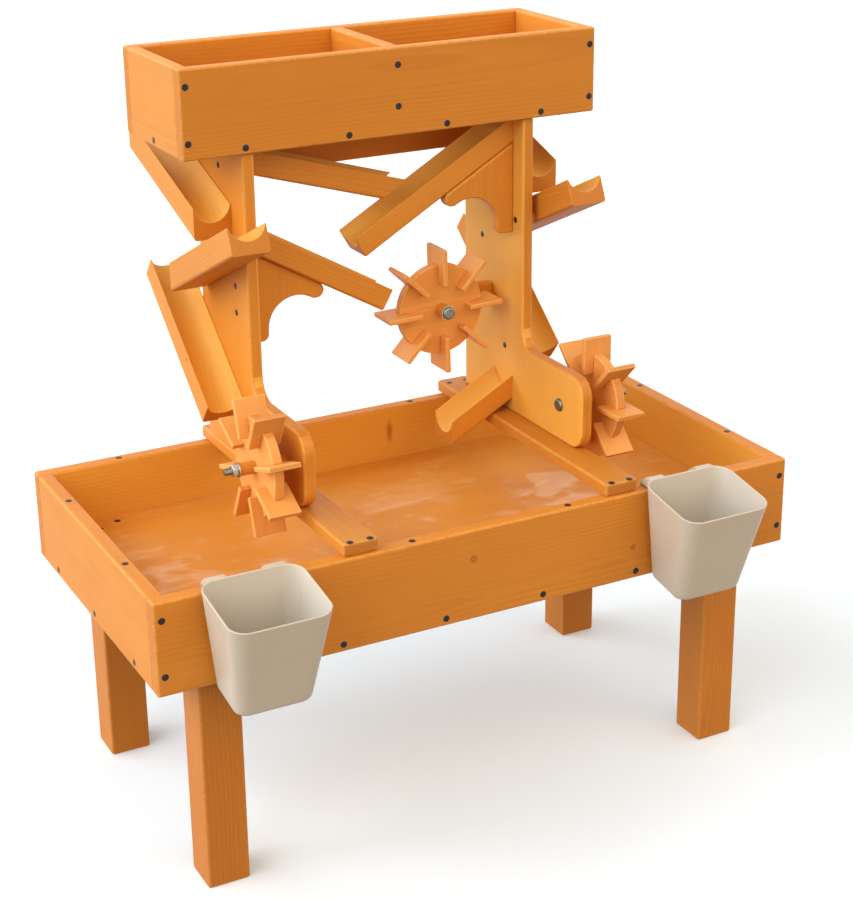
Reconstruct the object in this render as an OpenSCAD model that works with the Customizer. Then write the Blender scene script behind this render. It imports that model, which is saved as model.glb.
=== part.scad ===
// A water table: a shallow tray on four legs, with a tower of grooved troughs and paddle wheels
// that stands across it under a divided header box, and two buckets hooked on the front rim.
// Lengths are in millimetres. +Z is up, +X runs to the right along the front, +Y to the back.
// The origin lies on the ground under the middle of the whole object's outline.

/* [Tray] */
// Length of the tray over its end boards
tray_l = 808; // [760:1:880]
// Depth of the tray over its front and back boards
tray_d = 409; // [400:1:450]
// Height of the tray's rim above the ground
rim_h = 370; // [340:1:430]
// Height of the tray boards
board_h = 109; // [104:1:120]
// Thickness of the tray boards
board_t = 18; // [16:0.5:19]
// Depth of the tray inside
tray_deep = 70; // [60:1:72]
// Thickness of the tray floor
floor_t = 12; // [9:0.5:14]
// Height of the cleats that the floor lies on
cleat_h = 25; // [18:1:28]
// Width of the cleats that the floor lies on
cleat_w = 20; // [15:1:26]

/* [Legs] */
// Width of a square leg
leg_w = 49.5; // [44:0.5:56]
// Distance from the tray's end to a leg's outer face
leg_inset = 50; // [46:1:70]

/* [Tower] */
// Distance of the tower's middle to the right of the tray's middle
tower_x = 4; // [0:0.5:6]
// Width of the tower over the uprights
tower_w = 377; // [372:1:386]
// Width of a plank that crosses the tray
plank_w = 42.5; // [38:0.5:48]
// Thickness of a plank that crosses the tray
plank_t = 15.3; // [13:0.1:18]
// Length of a plank that crosses the tray
plank_l = 411; // [400:1:420]
// Distance of the planks' front ends behind the tray's front face
plank_inset = 5.5; // [3:0.5:8]
// Thickness of an upright
upright_t = 15; // [13:0.5:17]
// Height of an upright
upright_h = 379; // [375:1:390]
// Depth of an upright's post from front to back
post_d = 145; // [138:1:150]
// Distance of an upright's back edge in front of the tray's back board
post_gap = 1.5; // [0.5:0.5:6]
// Distance that an upright's foot reaches in front of its post
foot_reach = 141; // [136:1:146]
// Height of an upright's foot
foot_h = 90.4; // [86:0.2:96]
// Corner radius of the foot's front end
foot_r = 24; // [15:1:30]
// Radius of the hollow corner between the foot and the post
fillet_r = 25; // [15:1:35]
// Height of the rail between the uprights, at the back
rail_h = 56.5; // [40:0.5:60]

/* [Header] */
// Length of the header box
header_l = 529.3; // [515:0.1:545]
// Depth of the header box
header_d = 178.3; // [172:0.1:186]
// Height of the header box
header_h = 101.6; // [85:0.2:120]
// Thickness of the header's boards
header_t = 15; // [12:0.5:16]
// Distance of the header's middle to the right of the tower's middle
header_shift = 5; // [0:0.5:8]
// Distance that the header's front stands before the posts
header_out = 5.3; // [3:0.1:8]
// Radius of an outlet in the header's floor
outlet_r = 15; // [10:0.5:17]
// Distance of the side outlets in front of the header's back face
side_outlet_back = 43; // [36:1:60]
// Distance of the inner outlets from the uprights' inner faces
inner_outlet_in = 34; // [24:1:45]

/* [Troughs] */
// Width of a trough
trough_w = 46.5; // [45:0.5:48]
// Height of an upper side trough's block, square to its slope
upper_trough_h = 36; // [32:0.5:37]
// Height of a middle or lower side trough's block, square to its slope
side_trough_h = 32.5; // [30:0.5:34]
// Height of an inner trough's block, square to its slope
inner_trough_h = 28; // [26:0.5:30]
// Depth of the groove in a trough
groove_deep = 17.5; // [15:0.5:18.5]
// Width of the rims beside the groove
groove_rim = 1.6; // [1.2:0.1:3]
// Radius of a trough's lower edges
trough_edge_r = 4; // [2:0.5:5]
// Slope of the upper side troughs, in degrees
upper_slope = 18.3; // [16:0.1:19]
// Slope of the middle side troughs, in degrees
middle_slope = 24.6; // [22:0.1:27]
// Slope of the lower side troughs, in degrees
lower_slope = 39.5; // [37:0.1:42]
// Height of the header above the upper side troughs' front rims
upper_below = 65.4; // [60:0.2:75]
// Distance of the upper side troughs' front ends behind the posts' front edges
upper_front = 38; // [34:0.5:44]
// Horizontal length of an upper side trough
upper_run = 203; // [190:1:208]
// Free height between an upper side trough's front end and the middle one's rim
upper_fall = 6.3; // [5:0.1:12]
// Distance that a middle side trough starts before the upper one's front end
middle_lead = 100; // [90:1:104]
// Distance that a middle side trough runs behind the upper one's front end
middle_run = 88; // [80:1:92]
// Free height between a middle side trough's back end and the lower one's rim
middle_fall = 31; // [28:0.5:36]
// Distance that a lower side trough starts behind the middle one's back end
lower_lead = 66; // [58:1:72]
// Distance that a lower side trough runs before the middle one's back end
lower_run = 101; // [95:1:106]
// Slope of the first inner trough, in degrees
first_slope = 16.5; // [12:0.1:17]
// Distance that the first inner trough's underside reaches from the left upright
first_reach = 176; // [168:0.5:180]
// Depth of the first inner trough's middle behind the second one's
first_behind = 13; // [6:0.5:16]
// Slope of the second and third inner troughs, in degrees
inner_slope = 29.9; // [28.5:0.1:31]
// Distance that the second inner trough's underside reaches from the right upright
second_reach = 200; // [192:0.5:206]
// Height of the third inner trough's lower end above the middle wheel's axis
third_up = 16.2; // [13:0.2:22]
// Free width between the third inner trough's lower end and the middle wheel
third_gap = 9.5; // [8:0.5:14]
// Distance of the inner troughs' middle behind the posts' front edges
inner_y = 45; // [42:0.5:48]
// Slope of the foot trough, in degrees
foot_slope = 28.5; // [26:0.1:29.5]
// Horizontal length of the foot trough
foot_run = 86.5; // [78:0.5:92]
// Height of the foot trough's rim above the planks, at the upright
foot_trough_up = 48.6; // [48:0.1:54]
// Thickness of the spacers between the right side troughs and their upright
right_packing = 9; // [4:0.5:12]

/* [Brackets] */
// Thickness of a bracket
bracket_t = 15; // [12:0.5:18]
// Height of a bracket where it meets the upright
bracket_h = 112; // [105:1:118]
// Width of a bracket's toe
toe_w = 22.6; // [20:0.2:25]
// Corner radius of a bracket's toe
toe_r = 9; // [5:0.5:12]
// Radius of the arch under a bracket
arch_r = 36; // [30:0.5:38]
// Distance of the arch's middle below the trough, at the upright
arch_down = 98; // [94:0.5:103]
// Length of a bracket along its trough
bracket_l = 103; // [98:0.5:110]
// Radius of a bracket's rounded tip
tip_r = 9.5; // [6:0.5:11]
// Distance of the left bracket's front face behind its trough's front face
left_bracket_in = 7.5; // [0:0.5:10]

/* [Wheels] */
// Radius of a wheel over its paddles
wheel_r = 78.5; // [74:0.5:80]
// Width of a side wheel's paddle along its axle
side_paddle_w = 38.5; // [34:0.5:44]
// Width of the middle wheel's paddle along its axle
middle_paddle_w = 44; // [38:0.5:46]
// Thickness of a paddle
paddle_t = 6; // [4:0.5:7]
// Distance of a paddle's inner edge from the axle
paddle_in = 33; // [28:0.5:36]
// Radius of a wheel's disc
disc_r = 57; // [52:0.5:62]
// Thickness of a wheel's disc
disc_t = 12; // [9:0.5:14]
// Radius at which a disc's slots meet the paddles' notches
lap_r = 45; // [40:0.5:48]
// Number of paddles on a wheel
paddles = 8; // [6:1:8]
// Radius of an axle bolt
axle_r = 4; // [3:0.25:5]
// Distance of the side wheels' axes behind the foot's front end
side_axle_in = 51; // [48:0.5:56]
// Distance of the left wheel's disc from its upright
left_wheel_out = 26; // [23:0.5:34]
// Distance of the right wheel's disc from its upright
right_wheel_out = 31; // [23:0.5:34]
// Height of the middle wheel's axis above the planks
middle_axle_up = 145.6; // [138:0.2:150]
// Free width between the middle wheel and the right upright
middle_wheel_gap = 13.5; // [10:0.5:18]
// Angle that the left wheel is turned by
left_turn = 27; // [0:1:44]
// Angle that the middle wheel is turned by
middle_turn = 1.5; // [0:0.5:44]
// Angle that the right wheel is turned by
right_turn = 0; // [0:1:44]
// Height of the arm that holds the middle wheel
arm_h = 24; // [20:1:34]
// Thickness of the arm that holds the middle wheel
arm_t = 15; // [12:0.5:18]
// Distance that the arm reaches past the middle wheel's axis
arm_past = 14; // [12:0.5:20]

/* [Buckets] */
// Width of a bucket's mouth
bucket_w = 117; // [108:0.5:122]
// Depth of a bucket's mouth from front to back
bucket_d = 102; // [92:0.5:110]
// Height of a bucket, square to its mouth
bucket_h = 120; // [105:0.5:130]
// Width of a bucket's bottom
bucket_base_w = 88; // [78:0.5:92]
// Depth of a bucket's bottom
bucket_base_d = 66; // [60:0.5:72]
// Wall thickness of a bucket
bucket_wall = 2.5; // [2:0.1:3]
// Corner radius of a bucket's mouth
mouth_r = 21; // [16:0.5:25]
// Corner radius of a bucket's bottom
base_r = 15; // [12:0.5:18]
// Angle that a bucket hangs forward at, in degrees
bucket_tilt = 10; // [8:0.2:11]
// Height of a bucket's back rim above the tray's rim
bucket_up = 13.5; // [10:0.5:16]
// Distance of the left bucket's middle to the left of the tray's middle
left_bucket_x = 298; // [290:1:306]
// Distance of the right bucket's middle to the right of the tray's middle
right_bucket_x = 251; // [246:1:290]
// Width of a bucket's hook
hook_w = 22; // [16:0.5:26]
// Distance between the middles of a bucket's hooks
hook_pitch = 68; // [56:1:72]
// Length of a hook's leg behind the board
hook_leg = 15; // [10:0.5:20]
// Thickness of a hook
hook_t = 3; // [2.5:0.1:4]

/* [Hidden] */
$fn = 96;

// How far every cut runs past the face that it leaves
overrun = 2;
// Length that reaches past the whole object, for cuts that only keep one side of a plane
beyond = 1200;
// Radial clearance of a wheel on its axle bolt
running = 0.05;
// Clearance on each side of a wheel's disc, and under a bucket's hooks
play = 0.3;
// Distance of the first inner trough's rim below the header
first_drop = 2.5;

// Screws
head_r = 4;
head_t = 2;
shank_r = 1.9;
tray_screw_l = 42;
rim_screw_l = 45;
floor_screw_l = 45;
plank_screw_l = 40;
foot_screw_l = 38;
header_screw_l = 38;
tower_screw_l = 34;
rail_screw_l = 40;
corner_screw_down = 21;
corner_screw_up = 23;
low_screw_up = 9;
row_inner = 63;
row_outer = 190;
end_row = 132;
rim_row_end = 97;
rim_row_inner = 100;
rim_row_outer = 300;
plank_pair = 12;
leg_pair = 13;
foot_screw_edge = 28;
header_row_inner = 63;
header_row_outer = 190;
header_corner_edge = 7.5;
header_corner_down = 20;
header_corner_up = 19;
header_divider_up = 34;
post_screw_edge = 30;
trough_screw_edge = 27;
trough_screw_up = 8;
front_screw_in = 17;
thin_screw_down = 8;
thin_screw_l = 19;
first_screw_off = 14;
first_screw_up = 5;
inner_screw_up = 3;
inner_screw_l = 27;
bracket_screw_low = 39;
bracket_screw_pitch = 32;
rail_screw_edge = 14;
arm_screw_pair = 7;

// Axle hardware
washer_r = 9;
washer_t = 1.6;
nut_flats = 13;
nut_t = 6.5;
bolt_head_r = 8;
bolt_head_t = 3.5;
bolt_end = 9;
spacer_r = 7.5;
// Length of the spacer on the outer side of a side wheel's disc
outer_spacer = 19;
// Length of the spacers before and behind the middle wheel's disc
middle_front_spacer = 17;
middle_back_spacer = 21;
// Height of a spacer's inner end above the middle of a disc
spacer_in = disc_t / 2 + play;

// Thickness of the plates that a bucket's shell is drawn between
plate_t = 0.03;
// Number of straight steps in a bracket's rounded corners
arc_steps = 24;

// Tray
half_l = tray_l / 2;
half_d = tray_d / 2;
inner_l = tray_l - 2 * board_t;
inner_d = tray_d - 2 * board_t;
board_z = rim_h - board_h;
floor_z = rim_h - tray_deep;
leg_h = floor_z - floor_t;
leg_x = half_l - leg_inset - leg_w / 2;
leg_y = inner_d / 2 - leg_w / 2;

// Tower
plank_y = -half_d + plank_inset;
plank_top = rim_h + plank_t;
post_back = inner_d / 2 - post_gap;
post_front = post_back - post_d;
outer_x = tower_w / 2;
inner_x = outer_x - upright_t;
inner_w = 2 * inner_x;
header_z = plank_top + upright_h;
header_y = post_front - header_out;
side_x = outer_x + trough_w / 2;

// Groove: an arc through both rims and the groove's lowest line
groove_half = trough_w / 2 - groove_rim;
groove_r = (groove_half * groove_half + groove_deep * groove_deep) / (2 * groove_deep);

// Side troughs, each given by the rim height at the place where the one above pours into it
upper_y = post_front + upper_front;
upper_z = header_z - upper_below;
middle_z = upper_z - upper_trough_h / cos(upper_slope) - upper_fall;
lower_y = upper_y + middle_run;
lower_z = middle_z - middle_run * tan(middle_slope) - side_trough_h / cos(middle_slope) - middle_fall;

// Wheels
side_axle_y = post_front - foot_reach + side_axle_in;
side_axle_z = plank_top + foot_h / 2;
middle_axle_x = inner_x - middle_wheel_gap - wheel_r;
middle_axle_z = plank_top + middle_axle_up;
lane_y = post_front + inner_y;
arm_y = lane_y + disc_t / 2 + play + middle_back_spacer;

// Inner troughs, each given by its underside's height at the upright's inner face
second_z = header_z - play - inner_trough_h / cos(inner_slope);
first_z = header_z - first_drop - inner_trough_h / cos(first_slope);
third_reach = inner_w - middle_wheel_gap - 2 * wheel_r - third_gap;
third_z = middle_axle_z + third_up + third_reach * tan(inner_slope);
foot_z = plank_top + foot_trough_up;
first_y = lane_y + first_behind;

// Buckets: the back wall hangs plumb, so the bottom is drawn back by the tilt
bucket_y = -half_d - play;
bucket_z = rim_h + bucket_up;
base_back = bucket_h * tan(bucket_tilt);
bucket_front = bucket_d * cos(bucket_tilt) - bucket_y;

// Heights of the side troughs' undersides, and of the lower ones' rims, at a depth y
function under_upper(y) = upper_z + (y - upper_y) * tan(upper_slope) - upper_trough_h / cos(upper_slope);
function under_middle(y) = middle_z - (y - upper_y) * tan(middle_slope) - side_trough_h / cos(middle_slope);
function rim_lower(y) = lower_z + (y - lower_y) * tan(lower_slope);

// Depth, height and length of each screw of the side troughs
upper_front_y = upper_y + trough_screw_edge;
upper_back_y = post_back - trough_screw_edge;
middle_front_y = post_front + front_screw_in;
middle_back_y = lower_y - trough_screw_edge;
lower_front_y = lower_y - lower_run + front_screw_in;
lower_back_y = post_back - trough_screw_edge;
side_screws = [
    [upper_front_y, under_upper(upper_front_y) + trough_screw_up, tower_screw_l],
    [upper_back_y, under_upper(upper_back_y) + trough_screw_up, tower_screw_l],
    [middle_front_y, under_middle(middle_front_y) + trough_screw_up, tower_screw_l],
    [middle_back_y, under_middle(middle_back_y) + trough_screw_up, tower_screw_l],
    [lower_front_y, rim_lower(lower_front_y) - thin_screw_down / cos(lower_slope), thin_screw_l],
    [lower_back_y, rim_lower(lower_back_y) - (side_trough_h - trough_screw_up) / cos(lower_slope),
        tower_screw_l]
];

// Middle of the whole outline from front to back
frame_shift = (bucket_front - upper_y - upper_run) / 2;

module in_frame() {
    translate([0, frame_shift, 0]) children();
}

module right_of_tower() {
    in_frame() translate([tower_x, 0, 0]) children();
}

module left_of_tower() {
    right_of_tower() mirror([1, 0, 0]) children();
}

// A screw with its head flush at the origin and its shank running down
module screw(length) {
    translate([0, 0, -head_t]) cylinder(r = head_r, h = head_t);
    translate([0, 0, -length]) cylinder(r = shank_r, h = length - head_t);
}

// A screw that is driven along +X, +Y, -Y or -X from the origin
module screw_east(length) {
    rotate([0, -90, 0]) screw(length);
}

module screw_west(length) {
    rotate([0, 90, 0]) screw(length);
}

module screw_north(length) {
    rotate([90, 0, 0]) screw(length);
}

module screw_south(length) {
    rotate([-90, 0, 0]) screw(length);
}

// A 2-D rectangle with round corners, from its lower left corner
module rounded(size, r) {
    translate([r, 0]) square([size[0] - 2 * r, size[1]]);
    translate([0, r]) square([size[0], size[1] - 2 * r]);
    for (x = [r, size[0] - r], y = [r, size[1] - r]) translate([x, y]) circle(r = r);
}

// Tray screws: into the end boards at the corners, into the cleats below, and down into the rims
module tray_screw_set() {
    for (sx = [-1, 1]) {
        for (z = [rim_h - corner_screw_down, board_z + corner_screw_up]) {
            translate([sx * (half_l - board_t / 2), -half_d, z]) screw_north(tray_screw_l);
            translate([sx * (half_l - board_t / 2), half_d, z]) screw_south(tray_screw_l);
        }
        for (x = [row_inner, row_outer]) {
            translate([sx * x, -half_d, board_z + low_screw_up]) screw_north(board_t + cleat_w / 2);
            translate([sx * x, half_d, board_z + low_screw_up]) screw_south(board_t + cleat_w / 2);
        }
        for (x = [rim_row_inner, rim_row_outer], sy = [-1, 1])
            translate([sx * x, sy * (half_d - board_t / 2), rim_h]) screw(rim_screw_l);
        for (sy = [-1, 1])
            translate([sx * (half_l - board_t / 2), sy * rim_row_end, rim_h]) screw(rim_screw_l);
    }
    for (y = [-end_row, 0, end_row]) {
        translate([-half_l, y, board_z + low_screw_up]) screw_east(board_t + cleat_w / 2);
        translate([half_l, y, board_z + low_screw_up]) screw_west(board_t + cleat_w / 2);
    }
}

module tray_long_board(side) {
    difference() {
        translate([-half_l, side > 0 ? half_d - board_t : -half_d, board_z])
            cube([tray_l, board_t, board_h]);
        tray_screw_set();
        plank_screw_set();
    }
}

module tray_end_board(side) {
    difference() {
        translate([side > 0 ? half_l - board_t : -half_l, -inner_d / 2, board_z])
            cube([board_t, inner_d, board_h]);
        tray_screw_set();
    }
}

module tray_front_board() {
    color("peru") in_frame() tray_long_board(-1);
}

module tray_back_board() {
    color("peru") in_frame() tray_long_board(1);
}

module tray_left_board() {
    color("peru") in_frame() tray_end_board(-1);
}

module tray_right_board() {
    color("peru") in_frame() tray_end_board(1);
}

// Two screws through the floor into each leg
module floor_screw_set() {
    for (sx = [-1, 1], sy = [-1, 1], d = [-leg_pair, leg_pair])
        translate([sx * leg_x + d, sy * leg_y - d * sx * sy / 2, floor_z]) screw(floor_screw_l);
}

module tray_floor() {
    color("peru") in_frame() difference() {
        translate([-inner_l / 2, -inner_d / 2, floor_z - floor_t]) cube([inner_l, inner_d, floor_t]);
        floor_screw_set();
    }
}

module floor_cleats() {
    long = 2 * (leg_x - leg_w / 2);
    color("peru") in_frame() difference() {
        union() {
            for (sy = [-1, 1])
                translate([-long / 2, sy * (inner_d - cleat_w) / 2 - cleat_w / 2, leg_h - cleat_h])
                    cube([long, cleat_w, cleat_h]);
            for (sx = [-1, 1])
                translate([sx * (inner_l - cleat_w) / 2 - cleat_w / 2, -inner_d / 2, leg_h - cleat_h])
                    cube([cleat_w, inner_d, cleat_h]);
        }
        tray_screw_set();
    }
}

module leg(sx, sy) {
    difference() {
        translate([sx * leg_x - leg_w / 2, sy * leg_y - leg_w / 2, 0]) cube([leg_w, leg_w, leg_h]);
        floor_screw_set();
    }
}

module leg_front_left() {
    color("sandybrown") in_frame() leg(-1, -1);
}

module leg_front_right() {
    color("sandybrown") in_frame() leg(1, -1);
}

module leg_back_left() {
    color("sandybrown") in_frame() leg(-1, 1);
}

module leg_back_right() {
    color("sandybrown") in_frame() leg(1, 1);
}

// Screws that hold the planks down on the rims, and the uprights up from under the planks
module plank_screw_set() {
    for (sx = [-1, 1]) translate([tower_x + sx * (outer_x - plank_w / 2), 0, 0]) {
        for (sy = [-1, 1], d = [-plank_pair, plank_pair])
            translate([d, sy * (half_d - board_t / 2), plank_top]) screw(plank_screw_l);
    }
    for (sx = [-1, 1], y = [side_axle_y - foot_screw_edge, post_front + foot_screw_edge,
                            post_back - foot_screw_edge])
        translate([tower_x + sx * (outer_x - upright_t / 2), y, rim_h])
            rotate([180, 0, 0]) screw(foot_screw_l);
}

module plank() {
    translate([outer_x - plank_w, plank_y, rim_h]) cube([plank_w, plank_l, plank_t]);
}

module plank_left() {
    color("burlywood") difference() {
        left_of_tower() plank();
        in_frame() plank_screw_set();
    }
}

module plank_right() {
    color("burlywood") difference() {
        right_of_tower() plank();
        in_frame() plank_screw_set();
    }
}

// Outline of an upright from the side, with the plank's top as its base line
module upright_outline() {
    foot_front = post_front - foot_reach;
    translate([post_front, 0]) square([post_d, upright_h]);
    translate([foot_front, 0]) rounded([foot_reach, foot_h], foot_r);
    translate([post_front - 2 * foot_r, 0]) square([2 * foot_r, foot_h]);
    translate([post_front - fillet_r, foot_h]) difference() {
        square([fillet_r, fillet_r]);
        translate([0, fillet_r]) circle(r = fillet_r);
    }
}

module upright() {
    difference() {
        translate([inner_x, 0, plank_top]) rotate([90, 0, 90]) linear_extrude(upright_t) upright_outline();
        translate([inner_x - overrun, side_axle_y, side_axle_z]) rotate([0, 90, 0])
            cylinder(r = axle_r, h = upright_t + 2 * overrun);
    }
}

module upright_left() {
    color("sandybrown") difference() {
        left_of_tower() upright();
        in_frame() plank_screw_set();
        in_frame() tower_screw_set();
        in_frame() header_screw_set();
    }
}

module upright_right() {
    color("sandybrown") difference() {
        right_of_tower() upright();
        in_frame() plank_screw_set();
        in_frame() tower_screw_set();
        in_frame() header_screw_set();
    }
}

// Rail between the uprights, at their back edges under the header
module back_rail() {
    color("sandybrown") in_frame() difference() {
        translate([tower_x - inner_x, post_back - upright_t, header_z - rail_h])
            cube([inner_w, upright_t, rail_h]);
        tower_screw_set();
    }
}

// Screws of the header: through its front and back into the ends, the divider and the floor
module header_screw_set() {
    top = header_z + header_h;
    translate([tower_x + header_shift, header_y, 0]) {
        for (sx = [-1, 1]) {
            for (z = [top - header_corner_down, header_z + header_corner_up]) {
                translate([sx * (header_l / 2 - header_corner_edge), 0, z]) screw_north(header_screw_l);
                translate([sx * (header_l / 2 - header_corner_edge), header_d, z])
                    screw_south(header_screw_l);
            }
            for (x = [header_row_inner, header_row_outer]) {
                translate([sx * x, 0, header_z + header_t / 2]) screw_north(header_screw_l);
                translate([sx * x, header_d, header_z + header_t / 2]) screw_south(header_screw_l);
            }
        }
        for (z = [top - header_corner_down, header_z + header_divider_up]) {
            translate([0, 0, z]) screw_north(header_screw_l);
            translate([0, header_d, z]) screw_south(header_screw_l);
        }
        translate([-header_l / 2, header_d / 2, header_z + header_t / 2]) screw_east(header_screw_l);
        translate([header_l / 2, header_d / 2, header_z + header_t / 2]) screw_west(header_screw_l);
    }
    for (sx = [-1, 1], y = [post_front + post_screw_edge, post_back - post_screw_edge])
        translate([tower_x + sx * (outer_x - upright_t / 2), y, header_z + header_t])
            screw(header_screw_l);
}

module header_part(corner, size) {
    in_frame() difference() {
        translate([tower_x + header_shift - header_l / 2, header_y, header_z])
            translate(corner) cube(size);
        header_screw_set();
    }
}

module header_front_board() {
    color("peru") header_part([0, 0, 0], [header_l, header_t, header_h]);
}

module header_back_board() {
    color("peru") header_part([0, header_d - header_t, 0], [header_l, header_t, header_h]);
}

module header_left_board() {
    color("peru") header_part([0, header_t, 0], [header_t, header_d - 2 * header_t, header_h]);
}

module header_right_board() {
    color("peru")
        header_part([header_l - header_t, header_t, 0], [header_t, header_d - 2 * header_t, header_h]);
}

module header_divider() {
    color("peru") header_part(
        [(header_l - header_t) / 2, header_t, header_t],
        [header_t, header_d - 2 * header_t, header_h - header_t]
    );
}

// Floor of the header, with an outlet over each side trough and each of the two upper inner ones
module header_floor() {
    side_y = header_y + header_d - side_outlet_back;
    color("peru") difference() {
        header_part([header_t, header_t, 0],
            [header_l - 2 * header_t, header_d - 2 * header_t, header_t]);
        in_frame() translate([tower_x, 0, header_z - overrun]) {
            for (p = [[-side_x, side_y], [side_x + right_packing, side_y],
                      [inner_outlet_in - inner_x, first_y], [inner_x - inner_outlet_in, lane_y]])
                translate([p[0], p[1], 0]) cylinder(r = outlet_r, h = header_t + 2 * overrun);
        }
    }
}

// Cross section of a trough, with its rims on the base line and the block below it
module trough_section(height) {
    difference() {
        union() {
            translate([-trough_w / 2, -height]) rounded([trough_w, height], trough_edge_r);
            translate([-trough_w / 2, -2 * trough_edge_r]) square([trough_w, 2 * trough_edge_r]);
        }
        translate([0, groove_r - groove_deep]) circle(r = groove_r);
    }
}

// A trough that descends towards +X, with its rim through the origin. It starts up before the
// origin and ends down behind it, measured level along the rim, with plumb or square ends.
module trough(up, down, slope, height, plumb_start, plumb_end) {
    spare = height * tan(slope) + overrun;
    start = up / cos(slope) + (plumb_start ? spare : 0);
    end = down / cos(slope) + (plumb_end ? spare : 0);
    difference() {
        rotate([0, slope, 0]) translate([-start, 0, 0]) rotate([90, 0, 90])
            linear_extrude(start + end) trough_section(height);
        if (plumb_start) translate([-up - beyond, -trough_w, -beyond / 2])
            cube([beyond, 2 * trough_w, beyond]);
        if (plumb_end) translate([down, -trough_w, -beyond / 2])
            cube([beyond, 2 * trough_w, beyond]);
    }
}

module upper_trough() {
    translate([side_x, upper_y, upper_z]) rotate([0, 0, -90])
        trough(upper_run, 0, upper_slope, upper_trough_h, true, true);
}

module middle_trough() {
    translate([side_x, upper_y, middle_z]) rotate([0, 0, 90])
        trough(middle_lead, middle_run, middle_slope, side_trough_h, false, true);
}

module lower_trough() {
    translate([side_x, lower_y, lower_z]) rotate([0, 0, -90])
        trough(lower_lead, lower_run, lower_slope, side_trough_h, false, false);
}

module upper_trough_left() {
    color("goldenrod") difference() {
        left_of_tower() upper_trough();
        in_frame() tower_screw_set();
    }
}

module upper_trough_right() {
    color("goldenrod") difference() {
        right_of_tower() translate([right_packing, 0, 0]) upper_trough();
        in_frame() tower_screw_set();
    }
}

module middle_trough_left() {
    color("goldenrod") difference() {
        left_of_tower() middle_trough();
        in_frame() tower_screw_set();
    }
}

module middle_trough_right() {
    color("goldenrod") difference() {
        right_of_tower() translate([right_packing, 0, 0]) middle_trough();
        in_frame() tower_screw_set();
    }
}

module lower_trough_left() {
    color("goldenrod") difference() {
        left_of_tower() lower_trough();
        in_frame() tower_screw_set();
    }
}

module lower_trough_right() {
    color("goldenrod") difference() {
        right_of_tower() translate([right_packing, 0, 0]) lower_trough();
        in_frame() tower_screw_set();
    }
}

// Rings on the screws of the right side troughs, between the troughs and their upright
module right_trough_spacers() {
    color("burlywood") right_of_tower() for (s = side_screws) translate([outer_x, s[0], s[1]])
        rotate([0, 90, 0]) difference() {
            cylinder(r = spacer_r, h = right_packing);
            translate([0, 0, -overrun]) cylinder(r = shank_r, h = right_packing + 2 * overrun);
        }
}

// An inner trough that starts at an upright, its underside at the origin. Reach is its underside's.
module inner_trough(reach, slope) {
    translate([0, 0, inner_trough_h / cos(slope)])
        trough(0, reach + inner_trough_h * sin(slope), slope, inner_trough_h, true, false);
}

// The first inner trough's lower end is cut along the slope of the trough that it pours into
module first_inner_trough() {
    rim_reach = first_reach + inner_trough_h;
    color("goldenrod") in_frame() difference() {
        translate([tower_x - inner_x, first_y, first_z]) difference() {
            inner_trough(rim_reach, first_slope);
            translate([first_reach, -trough_w, -first_reach * tan(first_slope)])
                rotate([0, -inner_slope, 0]) translate([-beyond / 2, 0, -beyond])
                    cube([beyond, 2 * trough_w, beyond]);
        }
        tower_screw_set();
    }
}

module second_inner_trough() {
    color("goldenrod") in_frame() difference() {
        translate([tower_x + inner_x, lane_y, second_z]) rotate([0, 0, 180])
            inner_trough(second_reach, inner_slope);
        tower_screw_set();
    }
}

module third_inner_trough() {
    color("goldenrod") in_frame() difference() {
        translate([tower_x - inner_x, lane_y, third_z]) inner_trough(third_reach, inner_slope);
        tower_screw_set();
    }
}

module foot_trough() {
    color("goldenrod") in_frame() difference() {
        translate([tower_x + inner_x, lane_y, foot_z]) rotate([0, 0, 180])
            trough(0, foot_run, foot_slope, inner_trough_h, true, true);
        tower_screw_set();
    }
}

// Points along a part of a circle round [u, v], from one angle to another
function arc(u, v, r, from, to) = [
    for (i = [0 : arc_steps])
        let (turn = from + (to - from) * i / arc_steps)
        [u + r * cos(turn), v + r * sin(turn)]
];

// Outline of a bracket: its back edge on the upright, its sloping top under the trough, a rounded
// tip, a round arch and a rounded toe
module bracket_outline() {
    tip_u = bracket_l * cos(inner_slope) - tip_r * sin(inner_slope);
    tip_v = -bracket_l * sin(inner_slope) - tip_r * cos(inner_slope);
    arch_u = toe_w + arch_r;
    difference() {
        polygon(concat(
            [[0, 0]],
            arc(tip_u, tip_v, tip_r, 90 - inner_slope, -90),
            [[arch_u, tip_v - tip_r], [arch_u, -arch_down], [toe_w, -arch_down]],
            arc(toe_w - toe_r, toe_r - bracket_h, toe_r, 0, -90),
            [[0, -bracket_h]]
        ));
        translate([arch_u, -arch_down]) circle(r = arch_r);
    }
}

module bracket() {
    rotate([90, 0, 0]) translate([0, 0, -bracket_t]) linear_extrude(bracket_t) bracket_outline();
}

module bracket_left() {
    color("sandybrown") in_frame() difference() {
        translate([tower_x - inner_x, lane_y - trough_w / 2 + left_bracket_in, third_z]) bracket();
        tower_screw_set();
    }
}

module bracket_right() {
    color("sandybrown") in_frame() difference() {
        translate([tower_x + inner_x, lane_y - trough_w / 2, second_z]) mirror([1, 0, 0]) bracket();
        tower_screw_set();
    }
}

// Arm on the right upright that holds the middle wheel's axle from behind
module wheel_arm() {
    start_x = tower_x + middle_axle_x - arm_past;
    color("sandybrown") in_frame() difference() {
        translate([start_x, arm_y, middle_axle_z - arm_h / 2])
            cube([tower_x + inner_x - start_x, arm_t, arm_h]);
        translate([tower_x + middle_axle_x, arm_y - overrun, middle_axle_z]) rotate([-90, 0, 0])
            cylinder(r = axle_r, h = arm_t + 2 * overrun);
        tower_screw_set();
    }
}

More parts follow.
